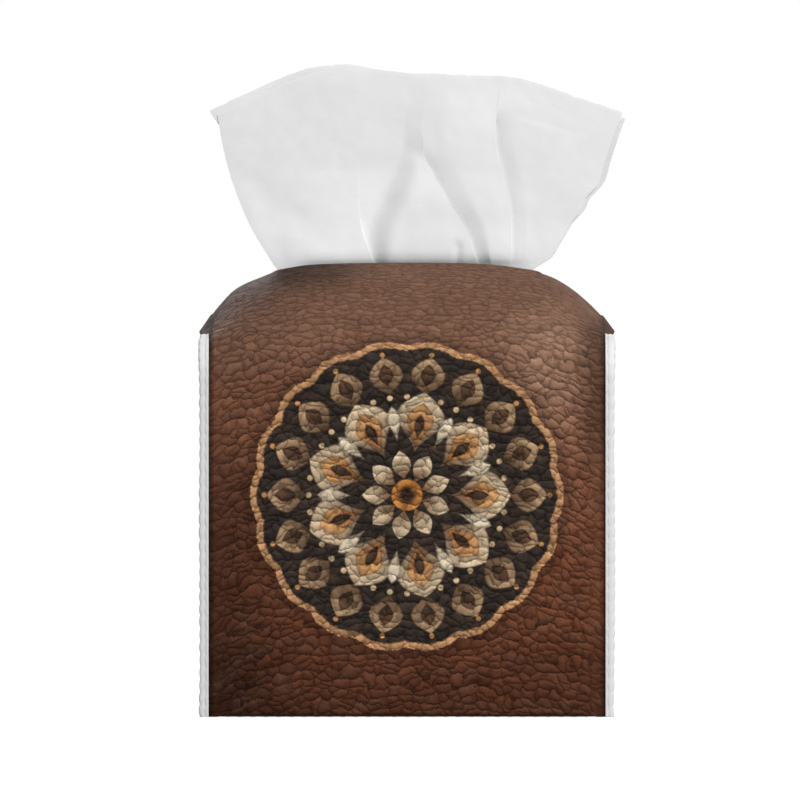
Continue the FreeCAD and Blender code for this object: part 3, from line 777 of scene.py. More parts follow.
def side_panel(name, node, sign):
    """Side wall with its seam edge turned outwards."""
    builder = Builder()
    inset = 2 * LEATHER
    run, y, z, _, _ = seam_path(inset, 1.4)
    on_wall = (run <= SPRING) | (run >= run[-1] - SPRING)
    first, last = np.flatnonzero(~on_wall)[[0, -1]]
    rise = np.concatenate([[0.0], z[1:first] / z[first], [1.0]])[:, None]
    y = np.tile(y[first:last + 1], (len(rise), 1))
    z = rise * z[first:last + 1]
    # The wall bulges a little, with slack in the cloth and puckers at the stitches.
    spread = np.clip(1 - (y / (HALF_DEPTH - inset)) ** 2, 0, 1)
    crest = np.sin(math.pi * np.clip(z / (SPRING + SHOULDER_RISE), 0, 1)) ** 0.7
    out = HALF_WIDTH + 1.1 * spread ** 0.7 * crest
    out = out + 0.5 * noise2(y / 30.0, z / 26.0, 21 + sign) * spread ** 0.5
    out = out + 0.15 * noise2(y / 8.0, z / 7.0, 23 + sign) * spread ** 0.5
    beat = np.sin(2 * math.pi * z / STITCH_PITCH)
    out = out + 0.12 * beat * smooth(0.25, 0.0, spread) * smooth(0.0, 0.06, spread)
    looks = {"grain": grid(y, z), "place": grid(y * PLAIN_SPREAD, z, 0.0)}
    a = builder.add(grid(sign * out, y, z), **looks)
    b = builder.add(grid(sign * (out - LEATHER), y, z), **looks)
    flip = sign < 0
    builder.face(quads(a, flip), 0)
    builder.face(quads(b, not flip), 1)
    builder.face(strip(a[0], b[0], not flip), 2)

    # Turned edge: a rounded step out to the seam allowance along walls and arch.
    def border(values):
        return np.concatenate([values[:-1, 0], values[-1, :], values[-2::-1, -1]])

    ey, ez = border(y), border(z)
    dy, dz = np.gradient(ey), np.gradient(ez)
    size = np.hypot(dy, dz)
    upright = ez < SPRING - 0.5
    oy = np.where(upright, np.sign(ey), -dz / size)
    oz = np.where(upright, 0.0, dy / size)
    reach = np.concatenate([np.linspace(0.35, 1.0, 4), np.linspace(1.3, 2.8, 4)])[:, None]
    lift = 0.5 * np.sqrt(np.clip(1 - (1 - np.clip(reach / 0.9, 0, 1)) ** 2, 0, 1))
    under = HALF_WIDTH - LEATHER + reach + LEATHER * np.minimum(1.0, reach)
    looks = {
        "grain": grid(ey + oy * reach, ez + oz * reach, 0.0),
        "place": grid(ey * PLAIN_SPREAD, ez, 0.0),
    }
    fa, fb = (
        np.concatenate([border(wall)[None], builder.add(
            grid(sign * across, ey + oy * raised, ez + oz * raised), **looks)])
        for wall, across, raised in ((a, HALF_WIDTH + reach, lift), (b, under, 1.15))
    )
    builder.face(quads(fa, flip), 0)
    builder.face(quads(fb, not flip), 1)
    builder.face(strip(fa[-1], fb[-1], flip), 2)
    builder.face(strip(fa[:, 0], fb[:, 0], flip), 2)
    builder.face(strip(fa[:, -1], fb[:, -1], not flip), 2)
    panel = builder.build(name, [PLAIN, BACKING, CUT])
    return place_piece(panel, "cover", node)


left_panel = side_panel("left_side_leather", "left_side_panel", -1)
right_panel = side_panel("right_side_leather", "right_side_panel", 1)


# Bound edges and stitches

# Section of the tape: place across, distance out from the leather's face and the share of
# painted shade in the stitch hollows, for its outer leaf and for its inner leaf with the inside of
# the fold.
OUTER_LEAF = (
    (0.00, 0.02, 0.0), (0.02, 0.46, 0.0), (0.16, 0.66, 0.0), (0.42, 0.68, 0.0),
    (0.70, 0.54, 0.6), (0.98, 0.34, 1.0), (1.24, 0.42, 0.6), (1.55, 0.47, 0.1),
    (1.95, 0.44, 0.0), (2.30, 0.38, 0.0),
)
INNER_LEAF = (
    (1.55, -2.98, 0.2), (0.98, -2.72, 1.0), (0.45, -3.02, 0.0), (0.05, -2.95, 0.0),
    (0.00, -2.42, 0.0), (1.20, -2.40, 0.0), (2.20, -2.20, 0.0), (2.45, -1.20, 0.0),
    (2.20, -0.10, 0.0), (1.20, 0.00, 0.0),
)
INSIDE_POINTS = 6
NEEDLE_LINE = 0.98


def needle_count(run, seed):
    """Number of stitches up to each distance along a seam, a little uneven."""
    return run / STITCH_PITCH + 0.28 * noise2(run / 17.0, 0.5, seed)


def edge_binding(name, node, sign, seed):
    """White tape folded round the seam edge, scalloped by its stitches."""
    builder = Builder()
    run, y, z, out_y, out_z = seam_path(0.0, STITCH_PITCH / 9.0)
    # 0 at each needle hole and about 1 between two holes.
    bump = np.abs(np.sin(math.pi * needle_count(run, seed))) ** 0.75
    bump = bump * (1.0 + 0.35 * noise2(run / STITCH_PITCH * 0.9, 3.5, seed + 1))
    drift = noise2(run / 23.0, 1.5, seed + 2)
    shoulder = np.exp(-(((z - 121.0) / 6.5) ** 2)) * (np.abs(y) > 50)
    reach = 2.72 + 0.38 * bump + 0.22 * drift + 0.35 * shoulder
    fuller = 0.4 * (0.30 * bump - 0.15)
    # The tape is thickest where the leather's lap over it ends.
    heap = 0.9 * np.exp(-(((np.abs(y) - LAP_END) / 6.0) ** 2)) * (z > SPRING)
    sections = [
        (side, out + fuller * smooth(1.1, 1.9, side) + heap * smooth(-0.1, 0.1, side), hollow_shade)
        for side, out, hollow_shade in OUTER_LEAF
    ]
    widest = OUTER_LEAF[-1][0]
    for turn in np.linspace(0.35, math.pi - 0.35, 9):
        lean = math.copysign(abs(math.cos(turn)) ** 0.55, math.cos(turn))
        sections.append((
            widest + (reach - widest) * math.sin(turn) ** 0.7,
            -1.25 + (1.58 + fuller) * lean + heap * max(lean, 0.0),
            0.0,
        ))
    sections += INNER_LEAF
    side, out, hollow_shade = (
        np.stack([np.broadcast_to(s[k], run.shape) for s in sections]) for k in range(3)
    )
    ring = np.linspace(0, 9, len(sections))[:, None]
    # The grain's third part is the share of painted shade in the stitch hollows, less between the
    # holes.
    index = builder.add(
        grid(sign * (TAPE_START + side), y + out_y * out, np.maximum(z + out_z * out, 0.0)),
        grain=grid(run, ring, hollow_shade * (1 - 0.75 * np.clip(bump, 0, 1))),
    )
    builder.face(quads(np.concatenate([index, index[:1]]), sign > 0))
    # The ends of the tape are closed between its outside and its inside.
    for column, flip in ((index[:, 0], sign > 0), (index[:, -1], sign < 0)):
        fan = column[::-1] if flip else column
        outside, inside = fan[:-INSIDE_POINTS], fan[-INSIDE_POINTS:][::-1]
        picks = np.round(np.linspace(0, INSIDE_POINTS - 1, len(outside))).astype(int)
        for k in range(len(outside) - 1):
            corners = outside[k], outside[k + 1], inside[picks[k + 1]], inside[picks[k]]
            builder.face(np.array([list(dict.fromkeys(corners))]))
    return place_piece(builder.build(name, [TAPE]), "cover", node)


def seam_thread(name, node, sign, seed):
    """Stitches along both faces of the bound edge, sunk at their needle holes."""
    builder = Builder()
    run, *track = seam_path(0.0, STITCH_PITCH / 18.0)
    count = needle_count(run, seed)
    t = np.linspace(0, 1, 9)
    arc = np.sin(math.pi * t) ** 0.6
    for number in range(int(math.ceil(count[0])), int(count[-1])):
        at = np.interp(np.linspace(number + 0.04, number + 0.96, 9), count, run)
        y, z, out_y, out_z = (np.interp(at, run, values) for values in track)
        slant = 0.10 * (t - 0.5) * (1 if number % 2 else -1)
        across = sign * (TAPE_START + NEEDLE_LINE + slant)
        for high, low in ((0.50, 0.12), (-2.86, -2.55)):
            lift = low + (high - low) * arc
            path = grid(across, y + out_y * lift, z + out_z * lift)
            tube(builder, path, 0.24 * (0.55 + 0.45 * arc), grain=grid(at[:, None], circle(8)))
    return place_piece(builder.build(name, [THREAD]), "cover", node)


left_tape = edge_binding("left_binding_tape", "left_edge_binding", -1, 31)
right_tape = edge_binding("right_binding_tape", "right_edge_binding", 1, 41)
left_thread = seam_thread("left_seam_stitches", "left_seam_thread", -1, 31)
right_thread = seam_thread("right_seam_stitches", "right_seam_thread", 1, 41)


# Tissue

# Free edges of the front and back layer, as place across and height.
TOP_FRONT = curve((
    (-64.6, 197.0), (-52.5, 203.1), (-41.2, 208.3), (-33.6, 211.2), (-26.1, 213.0),
    (-19.4, 213.9), (-9.1, 213.0), (-0.6, 212.0), (13.6, 211.5), (32.5, 210.8),
    (41.9, 208.9), (56.1, 203.9), (67.4, 200.2), (71.4, 198.8),
))
TOP_BACK = curve((
    (-65.5, 199.2), (-52.5, 205.4), (-41.2, 210.5), (-33.6, 213.1), (-26.1, 214.4),
    (-19.4, 214.8), (-14.7, 214.1), (-9.1, 212.8), (-0.6, 211.2), (13.6, 210.2),
    (32.5, 209.0), (41.9, 206.9), (56.1, 201.7), (67.4, 198.0), (72.7, 196.8),
))

# Fold lines of the sheet, from left to right. Each gives its place across and how far it stands
# out to the front, at these heights from the slot up to where the folds run out. At a sharp
# fold the next panel starts behind the last one.
FOLD_HEIGHTS = (149.7, 160.3, 170.1, 180.0, 186.6, 193.2, 199.8, 206.3, 214.2)
LEFT_EDGE = (-44.6, -51.0, -55.3, -58.7, -60.3, -61.6, -62.6, -62.8, -63.0)
LEFT_MIDDLE = (-27.0, -32.0, -34.5, -36.5, -38.0, -39.0, -40.0, -41.0, -42.0)
CREASE = (-10.9, -14.8, -16.1, -15.5, -14.8, -14.2, -13.5, -12.8, -12.2)
VALLEY = (-10.7, -13.2, -9.2, -4.6, -2.0, -1.4, -0.8, -0.4, 0.0)
TENT = (-5.6, -3.2, 1.2, 3.8, 2.2, 1.6, 2.6, 3.2, 3.8)
TENT_EDGE = (23.4, 19.4, 13.2, 7.9, 5.3, 4.9, 5.9, 6.9, 7.6)
TENT_FOOT = tuple(place + 3.4 for place in TENT_EDGE)
PLEAT = (28.2, 26.6, 22.0, 17.2, 13.6, 13.0, 13.6, 14.2, 14.8)
PLEAT_EDGE = (34.6, 34.4, 33.4, 31.3, 29.5, 29.0, 29.6, 30.3, 30.6)
PLEAT_FOOT = tuple(place + 3.0 for place in PLEAT_EDGE)
RIGHT_PANEL = (39.4, 40.2, 39.6, 37.6, 35.6, 34.8, 35.2, 35.9, 36.5)
RIGHT_EDGE = (45.4, 52.7, 59.0, 64.0, 66.3, 68.6, 71.0, 71.3, 71.6)
SHEET_PANELS = (
    (
        (LEFT_EDGE, (0.2, 0.2, 0.1, 0.1, 0.0, 0.0, 0.0, 0.0, 0.0)),
        (LEFT_MIDDLE, (1.2, 0.9, 0.5, 0.3, 0.1, 0.0, 0.0, 0.0, 0.0)),
        (CREASE, (0.5, 0.3, -0.2, -0.2, 0.0, 0.0, 0.0, 0.0, 0.0)),
    ),
    (
        (CREASE, (-2.2, -1.7, -0.3, -0.2, 0.0, 0.0, 0.0, 0.0, 0.0)),
        (VALLEY, (-1.2, -1.6, -1.3, -0.9, -0.5, -0.3, -0.1, 0.0, 0.0)),
        (TENT, (1.5, 3.2, 3.9, 2.7, 0.5, 0.25, 0.15, 0.1, 0.0)),
        (TENT_EDGE, (2.3, 3.7, 4.1, 3.0, 1.5, 1.05, 0.65, 0.3, 0.0)),
    ),
    (
        (TENT_EDGE, (-2.2, -2.4, -1.9, -0.2, 1.5, 1.05, 0.65, 0.3, 0.0)),
        (TENT_FOOT, (1.0, 1.9, 2.2, 2.2, 2.0, 1.55, 1.07, 0.58, 0.14)),
        (PLEAT, (1.9, 2.9, 3.3, 3.1, 2.7, 2.2, 1.6, 0.9, 0.3)),
        (PLEAT_EDGE, (2.0, 3.0, 3.5, 3.4, 3.1, 2.6, 1.7, 0.9, 0.3)),
    ),
    (
        (PLEAT_EDGE, (-1.9, -2.7, -3.0, -2.4, -1.4, 0.2, 1.7, 0.9, 0.3)),
        (PLEAT_FOOT, (0.6, 1.1, 1.3, 1.3, 1.2, 1.25, 1.6, 0.9, 0.36)),
        (RIGHT_PANEL, (0.8, 1.6, 2.0, 2.0, 1.8, 1.6, 1.5, 0.9, 0.4)),
        (RIGHT_EDGE, (0.8, 1.8, 2.4, 2.6, 2.5, 2.2, 1.8, 1.2, 0.8)),
    ),
)
# Mesh columns from each fold line to the next, panel by panel.
PANEL_COLUMNS = ((22, 34), (3, 8, 30), (6, 7, 24), (6, 5, 34))
PANEL_STARTS = np.cumsum([0] + [sum(counts) + 1 for counts in PANEL_COLUMNS])
EDGE_COLUMN = 0.03
# How far the back layer's edges lie beside the front one's, and the waves of the right edge.
BACK_LEFT = (0.5, 0.5, 0.5, 0.4, 0.4, 0.4, -2.3, -2.5, -2.7)
BACK_RIGHT = (0.0, 0.6, 1.4, 1.9, 1.9, 1.8, 1.7, 1.5, 1.3)
RIGHT_WAVE = curve((
    (140.0, -2.6), (147.0, -2.2), (152.1, 1.2), (157.5, 0.4), (162.5, -0.3), (166.8, 0.3),
    (170.4, -0.5), (175.6, 1.0), (182.2, 0.1), (189.3, 0.0), (216.0, 0.0),
))
LEAN = curve(((100.0, -1.4), (146.0, -1.4), (165.0, 1.9), (185.0, 3.2), (216.0, 3.4)))
SWELL = curve((
    (100.0, -1.2), (147.5, -1.2), (149.4, -0.2), (151.0, 0.9), (153.4, 1.4), (162.0, 1.0),
    (180.0, 0.0),
))


def at_level(values, z):
    """A fold line's place or stand at one height."""
    return float(curve(list(zip(FOLD_HEIGHTS, values)))(z))


def sheet_row(z, front):
    """Place across and stand of every column of a layer, each at its own height."""
    x, stand = np.zeros(len(z)), np.zeros(len(z))
    final = len(PANEL_COLUMNS) - 1
    for panel, (lines, counts) in enumerate(zip(SHEET_PANELS, PANEL_COLUMNS)):
        start, end = PANEL_STARTS[panel:panel + 2]
        folds = start + np.concatenate([[0], np.cumsum(counts)])
        at = [at_level(line[0], z[k]) for line, k in zip(lines, folds)]
        out = [at_level(line[1], z[k]) for line, k in zip(lines, folds)]
        if panel:
            before = at_level(SHEET_PANELS[panel - 1][-1][1], z[start])
            at[0] += 0.02 - min(3.0, 0.55 * max(0.0, before - out[0])) * front
        elif not front:
            at[0] += at_level(BACK_LEFT, z[start])
        if panel == final:
            at[-1] += float(RIGHT_WAVE(z[end - 1]))
            at[-1] += 0.0 if front else at_level(BACK_RIGHT, z[end - 1])
        here = np.interp(np.arange(start, end), folds, at)
        # A narrow column beside each edge keeps its shading crisp.
        here[-2] = max(here[-2], here[-1] - EDGE_COLUMN)
        here[1] = min(here[1], here[0] + EDGE_COLUMN)
        x[start:end] = here
        stand[start:end] = curve(list(zip(at, out)))(here)
    return x * (1 - 0.016 * np.clip(FOLD_HEIGHTS[0] - z, 0, 3.2)), stand


def tissue_layer(top, rows_fan, rows_tail, front):
    """One layer of the sheet as rows from its free edge down to the foot: x, stand and z."""
    z_top = np.full(PANEL_STARTS[-1], 205.0)
    for _ in range(12):
        x_top, _ = sheet_row(z_top, front)
        z_top = 0.5 * z_top + 0.5 * top(x_top)
    ragged = 0.16 * noise2(x_top / 2.3, 0.5, 71) + 0.12 * noise2(x_top / 0.9, 4.5, 72)
    z_top = top(x_top) + ragged
    rows = []
    for share in rows_fan:
        z = NECK_LEVEL + (z_top - NECK_LEVEL) * share
        rows.append((*sheet_row(z, front), z))
    neck = np.full_like(z_top, NECK_LEVEL)
    x, stand = sheet_row(neck, front)
    for share in rows_tail:
        z = neck + (FOOT_LEVEL - NECK_LEVEL) * share
        rows.append((x * (1 - 0.14 * share), stand * (1 + 0.2 * share), z))
    return (np.stack(part) for part in zip(*rows))


def near_line(x, z, start, end, width):
    """1 along a line on the sheet, fading to 0 around it and at its ends."""
    ax, az = end[0] - start[0], end[1] - start[1]
    size = math.hypot(ax, az)
    t = ((x - start[0]) * ax + (z - start[1]) * az) / size ** 2
    d = ((x - start[0]) * az - (z - start[1]) * ax) / size
    return np.exp(-((d / width) ** 2)) * smooth(-0.25, 0.2, t) * smooth(1.25, 0.8, t)


def tissue_body(x, z):
    """Depth of the sheet's middle: it leans, sways, and swells over the lip of the slot."""
    fan = smooth(NECK_LEVEL - 6, 205.0, z)
    sway = 0.9 * np.sin(x / 24.0 + 0.4) * fan
    swell = SWELL(z) * smooth(-42.0, -27.0, x) * smooth(44.0, 28.0, x)
    return LEAN(z) - swell + sway + 0.35 * noise2(x / 23.0, z / 26.0, 61) * fan


def popup_tissue():
    """One sheet folded double, standing in the slot with its two free edges up."""
    rows_fan = np.concatenate([[1.0, 0.9995], np.linspace(1, 0, 96)[1:]])
    rows_tail = np.linspace(0, 1, 19)[1:]
    fx, stand, fz = tissue_layer(TOP_FRONT, rows_fan, rows_tail, True)
    bx, soft, bz = tissue_layer(TOP_BACK, rows_fan, rows_tail, False)
    stand = stand - 0.5 * near_line(fx, fz, (-58.0, 180.0), (-24.0, 155.0), 5.5)
    stand = stand - 0.7 * near_line(fx, fz, (16.6, 148.0), (16.9, 156.0), 1.3)
    ray = fx / (0.62 + 0.38 * np.clip((fz - 130.0) / 85.0, 0, 1))
    tail = 1 - smooth(NECK_LEVEL - 4, 190.0, fz)
    crinkle = 0.22 * noise2(ray / 6.5, fz / 34.0, 63) * tail
    crinkle = crinkle + 0.16 * noise2(fx / 9.5, fz / 10.5, 64)
    crinkle = crinkle + 0.05 * noise2(fx / 3.2, fz / 3.6, 65)
    fy = tissue_body(fx, fz) - stand - crinkle
    crinkle = 0.26 * noise2(bx / 7.0, bz / 22.0, 66) + 0.10 * noise2(bx / 3.9, bz / 5.0, 67)
    # The two layers close up at the left edge, and past the front one the back one curls forward.
    inward = bx - fx[:, :1]
    apart = smooth(1.0, 16.0, inward)
    gap = (0.9 - 0.2 * smooth(196, 212, bz)) * apart
    by = tissue_body(bx, bz) - 0.85 * blur(soft, 5) + gap - crinkle
    by = np.maximum(by, fy + 0.34 + 0.16 * apart)
    by = np.where(inward < 0.8, fy + 0.27, by) - 0.08 * np.clip(bx - fx[:, -1:], 0, 3)
    front, back = grid(fx, fy, fz), grid(bx, by, bz)[::-1]
    turn = math.pi * np.array((0.25, 0.5, 0.75))[:, None]
    share = ((1 - np.cos(turn)) / 2)[..., None]
    foot = front[-1] * (1 - share) + back[0] * share + grid(0.0, 0.0, -0.25 * np.sin(turn))
    sheet = np.concatenate([front, foot, back])
    # The sheet stands behind the front face, so it is a little larger than it looks from there.
    larger = PERSPECTIVE * smooth(NECK_LEVEL, NECK_LEVEL + 20.0, sheet[..., 2])
    sheet[..., 0] += (sheet[..., 0] - VIEW_X) * larger
    sheet[..., 2] += (sheet[..., 2] - VIEW_Z) * larger
    folds = PANEL_STARTS[1:-1]
    panels = np.split(sheet, folds, axis=1)
    step_a = np.concatenate([np.gradient(panel, axis=1) for panel in panels], axis=1)
    step_b = np.gradient(sheet, axis=0)
    normal = np.cross(step_a, step_b)
    normal /= np.linalg.norm(normal, axis=2, keepdims=True) + 1e-9
    # The narrow columns and rows at the edges share their neighbour's direction.
    starts, ends = PANEL_STARTS[:-1], PANEL_STARTS[1:] - 1
    normal[:, starts] = normal[:, starts + 1] = normal[:, starts + 2]
    normal[:, ends] = normal[:, ends - 1] = normal[:, ends - 2]
    normal[0], normal[-1] = normal[1], normal[-2]
    grain = grid(
        np.cumsum(np.linalg.norm(step_a, axis=2), axis=1),
        np.cumsum(np.linalg.norm(step_b, axis=2), axis=0),
    )
    # The paper thins out along its edges.
    half = np.full(sheet.shape[:2] + (1,), PLY / 2)
    half[:, [0, 1, -2, -1]] *= 0.25
    half[[0, 1, -2, -1]] *= 0.25
    builder = Builder()
    builder.shell(sheet + normal * half, sheet - normal * half, sharp=folds - 1, grain=grain)
    return builder.build("popup_tissue_sheet", [PAPER])


tissue = place_piece(popup_tissue(), "tissue", "popup_tissue")


# Underside and pile

def stitch_row(builder, path, up, slot, sink=0.10, radius=0.22):
    """Stitches along a line of points, each sunk at both of its needle holes."""
    path = np.asarray(path, float)
    run = run_along(path)
    count = int(run[-1] / STITCH_PITCH)
    arc = np.sin(math.pi * np.linspace(0, 1, 8)) ** 0.6
    rise = (radius * arc - radius - sink)[:, None] * np.asarray(up, float)
    for number in range(count):
        at = np.linspace(number + 0.07, number + 0.93, 8) / count * run[-1]
        points = grid(*(np.interp(at, run, path[:, k]) for k in range(3))) + rise
        looks = grid(at[:, None], circle(8))
        tube(builder, points, radius * (0.6 + 0.4 * arc), 8, slot, grain=looks)


def stitch_dip(gap):
    """The dip that a stitch line presses into soft leather, by distance from the line."""
    return 0.26 * np.exp(-((gap / 0.55) ** 2))


FLAP_HALF = 63.3
FLAP_BACK = 64.4
FLAP_CORNER = 6.0
STITCH_INSET = 3.5
HINGE_INSET = 3.0
HINGE_SEAM_HALF = 57.0
# Height whose tone of leather the flap has.
FLAP_TONE = 38.0


def base_flap():
    """The leather flap under the cover, with a round fold at the back and sewn free edges."""
    builder = Builder()
    near = np.array((0.0, 0.7, 1.5, 2.3, 2.9, 3.25, 3.5, 3.75, 4.1, 4.8, 6.0))
    row = np.concatenate([-FLAP_HALF + near, np.arange(-55.0, 63.5, 2.4), [FLAP_BACK]])
    y = row[:, None]
    across = np.concatenate([near, np.arange(8.0, 63.0, 2.5), [FLAP_HALF]]) / FLAP_HALF
    inset = np.clip(FLAP_CORNER - (y + FLAP_HALF), 0, FLAP_CORNER)
    half = FLAP_HALF - FLAP_CORNER + np.sqrt(FLAP_CORNER ** 2 - inset ** 2)
    x = mirrored(across, 1.0) * half
    gap = np.minimum(half - np.abs(x), y + FLAP_HALF)
    hinge_line = FLAP_BACK - HINGE_INSET
    press = stitch_dip(gap - STITCH_INSET) + stitch_dip(y - hinge_line) * (gap > 1.0)
    calm = smooth(-34.0, -22.0, y) * smooth(63.0, 50.0, y) * smooth(0.0, 12.0, gap)
    sag = calm * (0.32 + 0.32 * noise2(x / 31.0, y / 27.0, 81))
    grainy = np.clip(0.05 * noise2(x / 5.0, y / 5.0, 82), 0, None)
    rounded = 0.28 * (1 - smooth(0.0, 0.8, gap)) * (y < 60)
    under = grid(x, y, sag + press + grainy + rounded)
    over = grid(x, y, sag + LEATHER - press - rounded)[::-1]
    turn = np.linspace(0, math.pi, 9)[1:-1]
    radius = LEATHER / 2
    bend = grid(x[-1], (FLAP_BACK + radius * np.sin(turn))[:, None],
                (radius - radius * np.cos(turn))[:, None])
    points = np.concatenate([under, bend, over])
    flat_y = np.concatenate([row, FLAP_BACK + radius * turn, row[::-1]])[:, None]
    index = builder.add(
        points,
        grain=grid(points[..., 0], flat_y),
        place=grid(points[..., 0] * PLAIN_SPREAD, FLAP_TONE),
    )
    fold, top = len(row), len(row) + len(bend)
    builder.face(quads(index[:top]), 0)
    builder.face(quads(index[top - 1:]), 1)
    builder.face(strip(index[-1], index[0]), 2)
    for column, flip in ((0, False), (-1, True)):
        builder.face(strip(index[top:, column][::-1], index[:fold, column], not flip), 2)
        ring = index[fold - 1:top + 1, column]
        builder.face((ring if flip else ring[::-1])[None], 2)
    line = FLAP_HALF - STITCH_INSET
    round_off = FLAP_CORNER - STITCH_INSET
    middle = line - round_off
    right = [(line, hinge_line)] + [
        (middle + round_off * math.cos(t), -middle - round_off * math.sin(t))
        for t in np.linspace(0, math.pi / 2, 7)
    ]
    left = [(-px, py) for px, py in right[::-1]]
    for z, up in ((0.0, (0, 0, -1)), (LEATHER, (0, 0, 1))):
        stitch_row(builder, [(px, py, z) for px, py in right + left], up, 3)
        ends = (-HINGE_SEAM_HALF, HINGE_SEAM_HALF)
        stitch_row(builder, [(end, hinge_line, z) for end in ends], up, 3)
    return builder.build("base_flap_leather", [PLAIN, BACKING, CUT, THREAD])


LEDGE_HALF = 63.3
LEDGE_WALL = -63.8
LEDGE_FOOT = 3.3
LEDGE_TOP = 17.3
LEDGE_EDGE = -36.8
LEDGE_BEND = 2.5
LEDGE_SEAM_HALF = 60.5
LEDGE_SEAM_INSET = 2.0
LEDGE_TONE = 34.0


def closure_ledge():
    """The leather strip inside the front wall that the flap closes against."""
    builder = Builder()
    x = mirrored(
        np.concatenate([[0.0, 0.6, 1.4, 2.4], np.linspace(4.5, LEDGE_HALF, 26)]), LEDGE_HALF
    )
    centre_y, centre_z = LEDGE_WALL + LEDGE_BEND, LEDGE_FOOT + LEDGE_BEND
    leg = np.linspace(LEDGE_TOP, centre_z, 9)[:-1]
    turn = np.linspace(0, math.pi / 2, 10)
    flat = np.concatenate([
        np.linspace(centre_y, LEDGE_EDGE - 2.4, 24)[1:], LEDGE_EDGE - np.array((1.6, 0.9, 0.4, 0.0))
    ])

    def section(inset):
        radius = LEDGE_BEND - inset
        bend = grid(centre_y - radius * np.cos(turn), centre_z - radius * np.sin(turn))
        return np.concatenate([
            grid(LEDGE_WALL + inset, leg), bend, grid(flat, LEDGE_FOOT + inset)
        ])

    outer, inner = section(0.0), section(LEATHER)
    y, z = outer[:, :1], outer[:, 1:]
    free = smooth(-40.0, LEDGE_EDGE, y) * (z < 4.0)
    sag = free * (0.35 + 0.35 * noise2(x / 17.0, 0.5, 84))
    thin = 0.22 * smooth(LEDGE_EDGE - 0.8, LEDGE_EDGE, y)
    low = grid(x, y, z - sag + thin)
    high = grid(x, inner[:, :1], inner[:, 1:] - sag - thin)
    run = run_along(outer)[:, None]
    place = grid(x * PLAIN_SPREAD, LEDGE_TONE)
    builder.shell(low, high, (0, 1, 2), grain=grid(x, run), place=place)
    for level, up in ((LEDGE_FOOT, (0, 0, -1)), (LEDGE_FOOT + LEATHER, (0, 0, 1))):
        ends = (-LEDGE_SEAM_HALF, LEDGE_SEAM_HALF)
        row = [(end, LEDGE_EDGE - LEDGE_SEAM_INSET, level) for end in ends]
        stitch_row(builder, row, up, 3, sink=0.28)
    return builder.build("closure_ledge_leather", [PLAIN, BACKING, CUT, THREAD])


TAPE_HALF = 50.0
TAPE_FRONT = -60.3
TAPE_BACK = -40.3
TAPE_SEWN = 1.3
TIP = 0.48
ROW_PITCH = 1.35
GRIP_PITCH = 1.4


def grip_tape(name, material, ground, face, up, seed, hooked):
    """One half of the closure: a woven ground with rows of hooks or loops, sewn down all round."""
    builder = Builder()
    near = np.array((0.0, 0.35, 0.8, 1.3, 1.8, 2.4))
    x = mirrored(np.concatenate([near, np.linspace(4.0, TAPE_HALF, 24)]), TAPE_HALF)
    y = np.concatenate([TAPE_FRONT + near, np.linspace(-56.6, -44.0, 9), TAPE_BACK - near[::-1]])
    y = y[:, None]
    gap = np.minimum(TAPE_HALF - np.abs(x), np.minimum(y - TAPE_FRONT, TAPE_BACK - y))
    bulge = abs(face - ground) * (0.62 + 0.38 * smooth(0.0, 0.5, gap))
    bulge = bulge - 0.14 * np.exp(-(((gap - TAPE_SEWN) / 0.4) ** 2))
    bulge = bulge - 0.03 * np.abs(noise2(x / 1.7, y / 1.7, seed))
    outer, inner = grid(x, y, ground + up * bulge), grid(x, y, ground)
    inner = np.broadcast_to(inner, outer.shape)
    first, second = (outer, inner) if up > 0 else (inner, outer)
    builder.shell(first, second, grain=grid(x, y))
    rng = np.random.default_rng(seed)
    for row, py in enumerate(np.arange(TAPE_FRONT + 2.6, TAPE_BACK - 2.0, ROW_PITCH)):
        start = -TAPE_HALF + 2.8 + GRIP_PITCH / 2 * (row % 2)
        for px in np.arange(start, TAPE_HALF - 2.3, GRIP_PITCH):
            if hooked:
                t = np.linspace(0, 1, 8)
                sway = (1 if row % 2 else -1) * (0.42 * smooth(0.45, 1.0, t))
                path = grid(px + sway, py, TIP * np.where(t < 0.7, t / 0.7, 1 - 0.9 * (t - 0.7)))
                size = 0.10 - 0.03 * t
            else:
                angle, wide = rng.uniform(0, 2 * math.pi), rng.uniform(0.5, 1.05)
                t = np.linspace(0, math.pi, 8)
                along = -np.cos(t) * wide
                bent = np.sin(t) * rng.uniform(-0.35, 0.35)
                path = grid(
                    px + along * math.cos(angle) - bent * math.sin(angle),
                    py + along * math.sin(angle) + bent * math.cos(angle),
                    TIP * rng.uniform(0.65, 1.0) * np.sin(t) - 0.02,
                )
                size = np.full(8, 0.065)
            path[:, 2] = face + up * (path[:, 2] - 0.05)
            tube(builder, path, size, 4, grain=np.repeat(path[:, None, :2], 4, 1))
    ends = TAPE_HALF - TAPE_SEWN
    low, high = TAPE_FRONT + TAPE_SEWN, TAPE_BACK - TAPE_SEWN
    ring = ((-ends, low), (ends, low), (ends, high), (-ends, high), (-ends, low))
    stitch_row(builder, [(*at, face) for at in ring], (0, 0, up), 1, sink=-0.06, radius=0.17)
    return builder.build(name, [material, THREAD])


PILE_HALF_WIDTH = 56.0
PILE_HALF_DEPTH = 54.0
PILE_FOOT = 4.5
PILE_TOP = 112.5
PILE_LAYERS = 54


